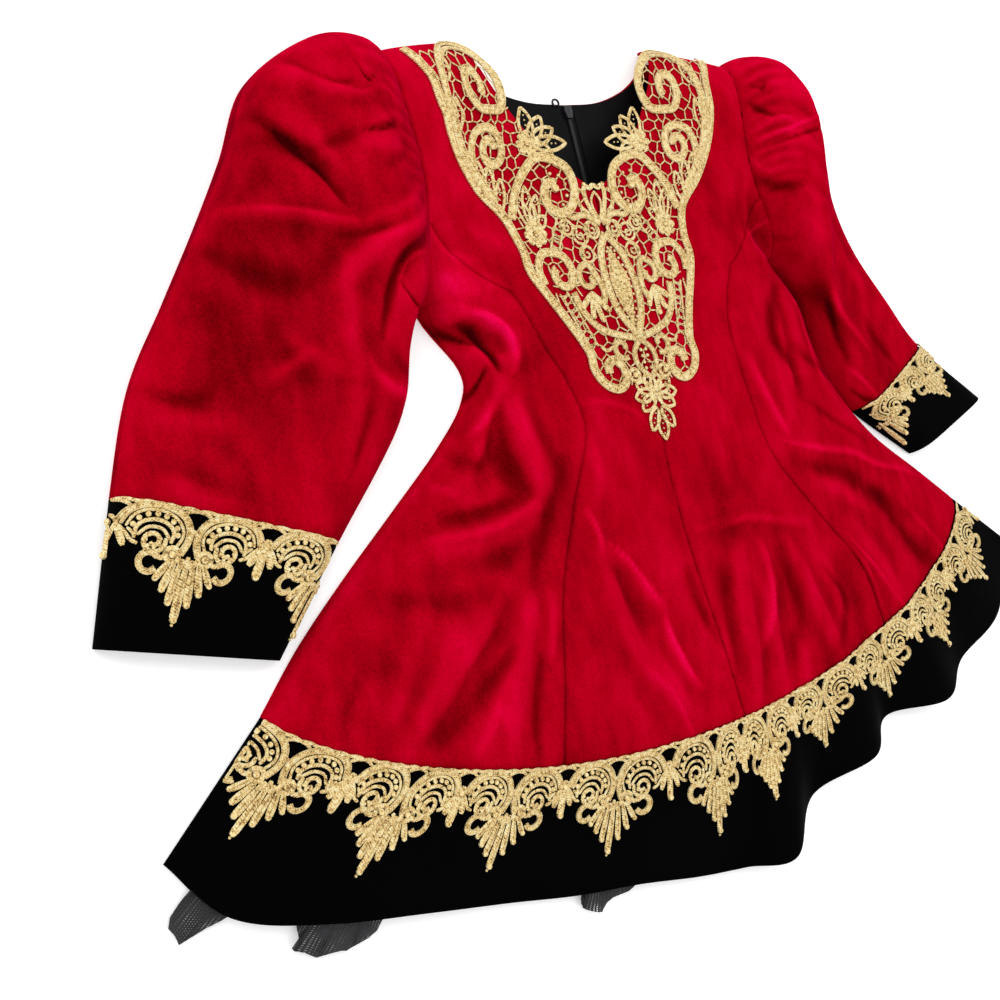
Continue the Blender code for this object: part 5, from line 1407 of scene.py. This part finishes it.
            tones.append(np.full(len(rows), laceLook["beadTone"]))
            top = base + len(rows) - 1
            for k in range(around):
                n = (k + 1) % around
                faces.append((base, base + 1 + n, base + 1 + k))
                for j in range(levels - 2):
                    low, high = base + 1 + j * around, base + 1 + (j + 1) * around
                    faces.append((low + k, low + n, high + n, high + k))
                high = base + 1 + (levels - 2) * around
                faces.append((high + k, high + n, top))
            base = top + 1
        mesh = bpy.data.meshes.new(name)
        points = np.vstack(points)
        mesh.from_pydata(points * cm + toFrame, [], faces)
        piece = bpy.data.objects.new(name, mesh)
        bpy.context.scene.collection.objects.link(piece)
        setTone(piece, np.concatenate(tones))
        addUv(piece, np.vstack(uvs))
        editWhole(piece, lambda: bpy.ops.mesh.normals_make_consistent(inside=False))
        finishPiece(piece, materials["gold"], nodes)
        return piece


edgingLace = {"repeat": 8.0, "depth": 6.2, "start": 0.02, "cutLeft": 2.6, "hemEnds": 0.997}
cuffLace = {"width": 12, "fit": 0.975, "ends": (-0.985, 0.99), "depth": 0.97, "start": 0.02}


def edgingHalf(lace):
    # Half a repeat, from the axis of a pendant to the next drop: distance along it, and depth.
    lace.band([(0.50, 2.6), (0.24, 1.9), (0.26, 1.25), (0.60, 0.62), (1.2, 0.24), (2.0, 0.10), (2.8, 0.26),
               (3.36, 0.70), (3.68, 1.35)], 0.34, 0.1)
    lace.cord([(0.78, 2.25), (0.56, 1.75), (0.60, 1.28), (0.90, 0.84), (1.38, 0.52), (2.0, 0.40),
               (2.65, 0.53), (3.10, 0.90), (3.36, 1.50)], 0.17, 0.11, 0.15)
    for spot in ((0.84, 1.62), (0.93, 1.26), (1.20, 0.93), (1.58, 0.71), (2.02, 0.64), (2.46, 0.73),
                 (2.84, 1.00), (3.06, 1.38)):
        lace.bead(spot, 0.16)
    lace.cord([(1.10, 2.1), (1.03, 1.55), (1.36, 1.13), (1.95, 0.95), (2.55, 1.10), (2.90, 1.5),
               (2.95, 2.1)], 0.21, 0.12, 0.15)
    lace.cord([(2.95, 1.95), (3.1, 1.75), (3.3, 1.6)], 0.18, 0.11)
    lace.cord(arcPoints((2.0, 2.10), 0.66, 0.16, 200, -330), 0.24, 0.13, 0.05)
    lace.beadRing((2.0, 2.10), 0.38, 0.36, 7, 0.11)
    lace.cord(arcPoints((2.0, 2.2), 0.86, 0.86, 200, 340), 0.18, 0.11)
    lace.ring((0.90, 2.66), 0.36, 0.28)
    lace.bead((0.90, 2.66), 0.20)
    lace.beadRing((0.90, 2.66), 0.38, 0.38, 6, 0.13, 0.4)
    lace.band(arcPoints((2.05, 3.22), 0.46, 0.54, 150, -140), 0.30, 0.05)
    lace.cord([(1.2, 2.75), (1.45, 2.9), (1.7, 2.85)], 0.26, 0.12)
    lace.cord([(2.75, 2.35), (3.1, 2.2), (3.4, 1.8), (3.7, 1.45)], 0.20, 0.12)
    lace.cord([(3.70, 1.25), (3.86, 1.7), (3.96, 2.3)], [0.22, 0.34, 0.26], 0.13, 0.05)
    lace.cord([(3.76, 1.6), (3.54, 2.05), (3.36, 2.55)], [0.22, 0.38, 0.42, 0.30], 0.14, 0.1)
    lace.cord([(0.0, 0.10), (0.35, 0.12), (0.75, 0.34)], 0.20, 0.12, 0.1)
    lace.cord([(4.0, 0.10), (3.65, 0.12), (3.25, 0.34)], 0.20, 0.12, 0.1)
    lace.cord([(0.0, 1.20), (0.16, 1.45), (0.2, 1.9)], 0.24, 0.11)
    lace.cord([(4.0, 0.95), (3.85, 1.10), (3.70, 1.40)], 0.24, 0.12)
    lace.cord([(x, 0.03 + 0.035 * (-1) ** k) for k, x in enumerate(np.linspace(0, 4, 9))], 0.19, 0.12, 0.15)
    for base, tip, width in (((0.36, 3.0), (0.56, 5.05), 0.42), ((0.66, 3.0), (1.08, 4.45), 0.42),
                             ((0.92, 2.95), (1.55, 3.95), 0.38)):
        lace.petal(base, tip, width)
        # A thin cord painted dark down the petal's middle, as painted shade between its two raised sides.
        lace.cord([base, (np.array(base) + tip) / 2, tip], 0.08, 0.10, -0.9, False, 0.08)
        lace.bead(tip, width * 0.46)
    lace.cord([(0.0, 2.95), (0.25, 2.98), (0.6, 2.9)], 0.30, 0.13)


def edgingPendant(lace):
    lace.petal((0.0, 2.95), (0.0, 5.85), 0.46)
    # A thin cord painted dark down the petal's middle, as painted shade between its two raised sides.
    lace.cord([(0, 3.2), (0, 4.5), (0, 5.6)], 0.09, 0.10, -0.9, False, 0.08)
    lace.bead((0, 5.85), 0.21)
    lace.bead((0, 6.12), 0.09)
    lace.daisy((0.0, 3.05), 0.42, 6, 30)


def edgingDrop(lace):
    lace.petal((4.0, 1.4), (4.0, 3.15), 0.50)
    lace.bead((4.0, 1.35), 0.20)
    lace.bead((4.0, 3.10), 0.22)


def layEdging(pendants, drops):
    # pendants lists each pendant's place and the sides on which its halves lie.
    lace = Lace()
    for place, flips in pendants:
        lace.shift, lace.flips = place, flips
        edgingHalf(lace)
        lace.flips = (1,)
        edgingPendant(lace)
    for place in drops:
        lace.shift, lace.flips = place - 4.0, (1,)
        edgingDrop(lace)
    return lace


pendantRows = ((-0.950, 6.1), (-0.757, 6.7), (-0.563, 5.9), (-0.335, 5.9), (-0.077, 6.9), (0.077, 6.1),
               (0.275, 5.0), (0.509, 5.2), (0.712, 5.9), (0.896, 6.0))
pendantTable = tableOf({i: row for i, row in enumerate(pendantRows)}, ("across", "reach"))


def onHem(flat):
    s = smoothAt(pendantTable["across"], flat[:, 0] / edgingLace["repeat"])
    s = np.clip(s, -edgingLace["hemEnds"], edgingLace["hemEnds"])
    place = (s + 1) / 2 * hemLast
    foot = hemAt(place)
    depth = np.linalg.norm(foot - bodyPoint(np.zeros_like(s), s)[:, :2], axis=1)
    reach = smoothAt(pendantTable["reach"], flat[:, 0] / edgingLace["repeat"])
    down = np.clip((flat[:, 1] / edgingLace["depth"] * reach + edgingLace["start"]) / depth, 0, 1)
    return bandPoint(down, s), faceOf(bandPoint, down, s, (0.0, 1.0))


def onCuff(side):
    table = sleeveTables[side]
    seam = math.hypot(table["outerX"][cuffSeam] - table["innerX"][cuffSeam],
                      table["outerY"][cuffSeam] - table["innerY"][cuffSeam])
    scale = min(1.0, seam * cuffLace["fit"] / cuffLace["width"])
    surface = lambda place, s: sleevePoint(side, place, s)

    def lay(flat):
        s = np.clip(-cuffLace["ends"][0] - 2 * flat[:, 0] * scale / seam, *cuffLace["ends"])
        end, start = (surface(np.full_like(s, row), s) for row in (cuffEnd, cuffSeam))
        depth = np.linalg.norm(end - start, axis=1)
        place = np.minimum(cuffSeam + (flat[:, 1] * cuffLace["depth"] + cuffLace["start"]) / depth, cuffEnd)
        return surface(place, s), faceOf(surface, place, s, (0.0, float(cuffEnd)))

    return lay


def addEdging():
    count = len(pendantRows)
    pendants = [(8.0 * i, (1, -1) if i else (1,)) for i in range(count)]
    lace = layEdging(pendants, [8.0 * i + 4 for i in range(count)])
    lace.keep = lambda flat: flat[:, 0] > -edgingLace["cutLeft"]
    lace.shift, lace.flips = 0.0, (-1,)
    edgingHalf(lace)
    lace.build("hemEdging", onHem, ["hem_edging"], ["hemBandFront"], (0.78, 0.062), 0.034)
    for side in ("left", "right"):
        lace = layEdging([(4.0, (1, -1)), (12.0, (-1,))], [0.0, 8.0])
        lace.build("cuffEdging" + side.title(), onCuff(side), ["cuff_edging_" + side],
                   ["cuff" + side.title()], (0.12, 0.062), 0.005)


addEdging()
print("edging made")


neckAxis = tableOf({"tip": (1.4, -0.3), "lobes": (6.0, -0.2), "rings": (11.0, -0.8), "kink": (16.4, -1.3),
                    "scroll": (21.0, -0.8), "shoulder": (28.4, 0.3)}, ("y", "x"))
neckInner = ((0.0, 18.9), (0.6, 19.1), (1.2, 18.9), (1.6, 19.8), (2.3, 20.8), (3.8, 21.3), (4.1, 22.4),
             (4.9, 24.0), (5.7, 25.1), (5.7, 26.2), (6.4, 27.2), (7.6, 27.8), (8.4, 28.0))
neckOuter = ((10.0, 28.1), (11.6, 27.8), (13.2, 27.5), (12.6, 26.3), (12.4, 24.2), (11.6, 21.7),
             (9.9, 19.1), (7.8, 17.1), (7.2, 15.0), (6.7, 12.8), (5.3, 9.9), (4.6, 7.7),
             (4.2, 6.3), (3.0, 5.2), (2.2, 4.4), (1.3, 3.4), (0.5, 2.2), (0.0, 1.5))

# Towards the shoulders the lace reaches further, up to the shoulder seams.
neckReach = {"above": 24.5, "more": 0.17}

# On the wearer's right the lace is drawn together: its outer edge in, its inner edge out.
neckLean = {"y": (15.0, 18.0, 21.0, 24.0, 26.0, 28.3), "outer": (0.0, 0.6, 1.1, 1.6, 1.1, 0.2),
            "inner": (0.0, 0.0, 0.0, 0.2, 0.9, 1.7), "from": 3.0, "fade": 2, "split": 6.0, "spread": 6.0}


def leanLeft(flat):
    out = -flat[:, 0]
    share = np.clip((out - neckLean["split"]) / neckLean["spread"], 0, 1)
    outer = np.interp(flat[:, 1], neckLean["y"], neckLean["outer"])
    inner = np.interp(flat[:, 1], neckLean["y"], neckLean["inner"])
    fade = np.clip((out - neckLean["from"]) / neckLean["fade"], 0, 1)
    return (outer * share - inner * (1 - share)) * fade


bodyRow = 3.9


def onFront(flat):
    x = flat[:, 0] + leanLeft(flat) + smoothAt(neckAxis["x"], placeWhere(neckAxis["y"], flat[:, 1]))
    y = flat[:, 1] + neckReach["more"] * np.maximum(0.0, flat[:, 1] - neckReach["above"])
    place = np.full_like(x, underarm / 2)
    for _ in range(30):
        s = shareAt(place, x)
        place = np.clip(place + (y - bodyPoint(place, s, False)[:, 1]) / bodyRow, 0, shoulder - 0.02)
    return bodyPoint(place, s), faceOf(bodyPoint, place, s, (0.0, float(shoulder)))


def insideLoop(points, loop):
    inside = np.zeros(len(points), bool)
    for (ax, ay), (bx, by) in zip(loop, [*loop[1:], loop[0]]):
        crosses = (ay > points[:, 1]) != (by > points[:, 1])
        with np.errstate(divide="ignore", invalid="ignore"):
            inside ^= crosses & (points[:, 0] < ax + (points[:, 1] - ay) * (bx - ax) / (by - ay))
    return inside


barField = {"rows": (-2, 52), "columns": (0, 20), "uneven": 0.09, "seed": 7, "foot": 5.4, "height": 0.08,
            "tone": 0.35}
netGaps = ((5.75, 11.6, 0.42, 1.5), (0.0, 12.2, 0.9, 3.6), (3.0, 11.0, 1.0, 1.1), (0.0, 17.8, 0.7, 1.2))


def netBars(lace):
    # Thin bars in uneven six-sided cells, which join the motifs.
    size = laceLook["cell"] / math.sqrt(3)
    jitter = np.random.default_rng(barField["seed"])
    corners = {}

    def corner(x, y):
        key = (round(x * 20), round(y * 20))
        if key not in corners:
            corners[key] = tuple(value + jitter.normal(0, barField["uneven"]) for value in (x, y))
        return corners[key]

    bars = set()
    for row in range(*barField["rows"]):
        for column in range(*barField["columns"]):
            x = (column + (row % 2) / 2) * laceLook["cell"]
            y = row * size * 1.5
            ring = [corner(x + size * math.sin(math.pi * k / 3), y + size * math.cos(math.pi * k / 3))
                    for k in range(6)]
            bars |= {tuple(sorted((ring[k], ring[(k + 1) % 6]))) for k in range(6)}
    bars = sorted(bars)
    middle = (np.array([bar[0] for bar in bars]) + np.array([bar[1] for bar in bars])) / 2
    loop = [*neckInner, *neckOuter]
    kept = insideLoop(middle, loop) & (middle[:, 1] > barField["foot"])
    for end in (0, 1):
        at = np.array([bar[end] for bar in bars])
        kept &= insideLoop(at, loop) | (np.abs(at[:, 0]) < 1.0)
    for x, y, wide, high in netGaps:
        kept &= ((middle[:, 0] - x) / wide) ** 2 + ((middle[:, 1] - y) / high) ** 2 > 1
    for bar, keep in zip(bars, kept):
        if keep and min(bar[0][0], bar[1][0]) > -0.2:
            (ax, ay), (bx, by) = bar
            lace.cord(np.array([(ax, ay), ((ax + bx) / 2, (ay + by) / 2), (bx, by)]), laceLook["bar"],
                      barField["height"], barField["tone"], None)


def addNeckLace():
    lace = Lace()
    lace.flips = (1, -1)
    netBars(lace)
    lace.band([(13.1, 27.9), (12.4, 26.2), (12.3, 24.2), (11.5, 21.8), (9.8, 19.2), (7.8, 17.2), (7.1, 15.2),
               (7.0, 13.6), (6.3, 12.0), (5.3, 10.0), (4.5, 8.0), (4.5, 6.8), (4.0, 5.8), (3.1, 5.3),
               (2.3, 5.6), (2.1, 6.5), (2.6, 7.2), (3.3, 7.0), (3.4, 6.4)], 0.54, 0.1)
    lace.band(arcPoints((8.2, 25.6), 0.55, 1.45, 235, -110, 0.85)
              + [(6.5, 24.3), (5.8, 25.1), (5.7, 26.2), (6.4, 27.2), (7.5, 27.9), (8.7, 28.1), (9.9, 27.8),
                 (11.0, 26.9), (11.6, 25.4), (11.6, 23.8), (10.9, 21.6), (9.7, 19.8), (8.2, 18.1)],
              0.56, 0.1, False, 0.02)
    lace.band(arcPoints((8.3, 21.6), 0.40, 1.45, 180, -275, 0.88) + [(9.6, 22.7), (10.1, 21.6), (10.0, 20.2)],
              0.54, 0.1, False, 0.01)
    lace.band(arcPoints((3.3, 18.6), 0.50, 2.1, 110, -235, 0.88)
              + [(4.2, 21.0), (5.6, 20.0), (6.6, 18.6), (7.2, 17.0)], 0.58, 0.1, False, 0.02)
    lace.bead((3.3, 18.8), 0.30)
    lace.beadRing((3.3, 18.7), 1.0, 1.15, 9, 0.13)
    for tip in ((4.7, 24.3), (3.5, 23.7), (2.7, 22.9), (1.8, 21.9), (3.0, 21.0)):
        lace.leaf((4.6, 21.9), tip, 0.98, 0.25)
    lace.daisy((4.9, 21.9), 0.80)
    for base, tip in (((11.3, 22.6), (10.9, 24.9)), ((8.6, 18.0), (8.7, 20.4)), ((9.2, 18.6), (9.7, 20.9)),
                      ((8.0, 17.4), (7.7, 19.6)), ((11.6, 23.2), (11.7, 25.4)), ((10.9, 26.0), (10.3, 27.5))):
        lace.leaf(base, tip, 0.70, 0.21)
    for tip in ((6.5, 18.5), (5.7, 19.0), (4.9, 18.4), (4.5, 17.0)):
        lace.leaf((5.6, 16.2), tip, 0.72, 0.20)
    lace.daisy((5.6, 15.9), 0.85, 8)
    # The crown at the neck point, with its drop, and the rings beside it.
    lace.cord([(0.0, 19.0), (0.35, 18.75), (0.75, 18.9), (0.85, 18.2), (0.55, 17.2), (0.12, 16.3)],
              0.34, 0.13, 0.1)
    lace.cord([(0.0, 18.5), (0.38, 17.9), (0.30, 17.2), (0.0, 16.6)], 0.18, 0.12, 0.1)
    lace.cord([(1.15, 18.7), (1.55, 18.3), (1.35, 17.5), (0.8, 17.0)], 0.30, 0.12)
    lace.bead((0.8, 19.0), 0.16)
    lace.band([(0.1, 16.3), (1.2, 16.9), (2.2, 16.8), (2.9, 17.3)], 0.36, 0.1)
    for centre, radius in (((0.95, 15.9), 0.56), ((2.05, 15.6), 0.60), ((2.0, 14.3), 0.55),
                           ((3.0, 16.2), 0.50)):
        lace.ring(centre, radius, 0.20)
        lace.cord(arcPoints(centre, radius * 0.58, 0.12, 60, -300), 0.16, 0.11)
    lace.ladder((3.1, 17.0), (4.7, 14.4), 0.62, 7)
    # The pointed oval down the middle.
    lace.band([(0.0, 15.6), (0.85, 14.3), (1.2, 12.4), (1.0, 10.4), (0.0, 8.5)], 0.46, 0.1)
    for x in (0.08, 0.38, 0.66):
        lace.cord([(x * 0.4, 14.7 - x * 1.5), (x, 12.2), (x * 0.4, 9.3 + x * 1.5)], 0.30, 0.06, -0.45)
    for k in range(22):
        y = 14.6 - 0.25 * k
        wide = 0.80 * math.sin(math.pi * (k + 3) / 27)
        for share in (0.12, 0.95) if k % 2 else (0.52,):
            lace.bead((wide * share, y), 0.11)
    lace.band(arcPoints((4.7, 13.2), 0.40, 1.35, 60, -250, 0.85) + [(5.6, 14.6), (6.3, 13.6), (6.2, 12.6)],
              0.50, 0.1)
    lace.band(arcPoints((2.65, 12.7), 0.30, 0.95, 150, 480, 0.9) + [(1.7, 11.9), (2.0, 10.9)], 0.38, 0.1)
    for tip in ((1.8, 10.5), (2.5, 9.9), (3.2, 10.2), (3.8, 10.9)):
        lace.petal((2.7, 11.8), tip, 0.44)
        lace.bead(tip, 0.2)
    lace.ring((3.7, 12.9), 0.42, 0.18)
    lace.band([(4.2, 11.9), (3.9, 10.6), (3.0, 9.4), (1.7, 8.8), (0.0, 8.4)], 0.42, 0.1)
    lace.ladder((5.0, 12.0), (3.9, 8.2), 0.62, 8)
    lace.cord([(5.6, 12.0), (5.5, 10.8), (4.9, 9.4)], 0.14, 0.11, 0.1)
    lace.band([(0.0, 8.3), (0.75, 7.6), (0.8, 6.6), (0.0, 5.6)], 0.30, 0.1)
    for k in range(4):
        lace.bead((0.22, 7.6 - 0.42 * k), 0.13)
    lace.band(arcPoints((1.75, 7.9), 0.28, 0.75, 200, -120), 0.32, 0.1)
    lace.cord([(3.4, 8.2), (3.0, 7.9), (2.3, 8.1)], 0.24, 0.12)
    lace.ring((1.35, 6.0), 0.42, 0.26)
    lace.bead((1.35, 6.0), 0.2)
    # The flower at the foot, and the leaves down to the tip.
    for turn in (75, 35, 0, -38):
        angle = math.radians(turn)
        lace.leaf((0.2 * math.cos(angle), 4.6 + 0.2 * math.sin(angle)),
                  (1.75 * math.cos(angle), 4.5 + 1.45 * math.sin(angle)), 0.86, 0.24)
    lace.leaf((0.25, 3.6), (0.95, 2.2), 0.74, 0.24)
    lace.flips = (1,)
    lace.daisy((0.0, 4.5), 0.62, 6)
    lace.leaf((0.0, 3.3), (0.0, 1.5), 0.80, 0.24)
    lace.build("neckLace", onFront, ["neck_lace"], ["centreFrontLeft", "centreFrontRight"],
               (0.27, 0.27), 0.034)


addNeckLace()
print("neck lace made")


# The camera that the photo was taken with: its axes and place, in metres.
view = {"lens": 39.855, "sensor": 36, "near": 0.01, "place": (-0.50545, -0.00946, 0.57544),
        "right": (0.80987, -0.24040, 0.53509), "down": (-0.19624, -0.97065, -0.13905),
        "forward": (0.55281, 0.00761, -0.83327)}


def addCamera():
    data = bpy.data.cameras.new("camera")
    data.lens = view["lens"]
    data.sensor_width = view["sensor"]
    data.clip_start = view["near"]
    camera = bpy.data.objects.new("camera", data)
    bpy.context.scene.collection.objects.link(camera)
    right, down, forward = (Vector(view[axis]) for axis in ("right", "down", "forward"))
    turn = Matrix((right, -down, -forward)).transposed().to_4x4()
    camera.matrix_world = Matrix.Translation(view["place"]) @ turn
    bpy.context.scene.camera = camera


studio = {
    "floor": (0.92, 0.92, 0.92, 1),
    "floorSize": 12,
    "floorDrop": 0.0002,
    "paperGlow": 0.30,
    "world": 0.60,
    "lamps": {
        "key": {"place": (-0.9, 0.9, 1.3), "size": 1.0, "energy": 13.0},
        "fill": {"place": (0.9, 0.5, 1.2), "size": 1.2, "energy": 5.0},
        "top": {"place": (0.1, -0.9, 1.4), "size": 1.2, "energy": 6.0},
    },
}


def addStudio():
    clearSelection()
    bpy.ops.mesh.primitive_plane_add(size=studio["floorSize"], location=(0, 0, -studio["floorDrop"]))
    floor = bpy.context.object
    floor.name = "floor"
    paper = bpy.data.materials.new("paper")
    paper.use_nodes = True
    for name, value in (("Base Color", studio["floor"]), ("Roughness", 0.9), ("Emission Color", (1, 1, 1, 1)),
                        ("Emission Strength", studio["paperGlow"])):
        paper.node_tree.nodes["Principled BSDF"].inputs[name].default_value = value
    floor.data.materials.append(paper)
    world = bpy.data.worlds.new("studio")
    world.use_nodes = True
    background = world.node_tree.nodes["Background"]
    background.inputs["Color"].default_value = (1, 1, 1, 1)
    background.inputs["Strength"].default_value = studio["world"]
    bpy.context.scene.world = world
    for name, lamp in studio["lamps"].items():
        light = bpy.data.lights.new(name, "AREA")
        light.size = lamp["size"]
        light.energy = lamp["energy"]
        holder = bpy.data.objects.new(name, light)
        holder.location = lamp["place"]
        holder.rotation_euler = (-Vector(lamp["place"])).to_track_quat("-Z", "Y").to_euler()
        bpy.context.scene.collection.objects.link(holder)


addCamera()
addStudio()
bpy.context.scene.view_settings.view_transform = "Standard"
print("camera and lights made")
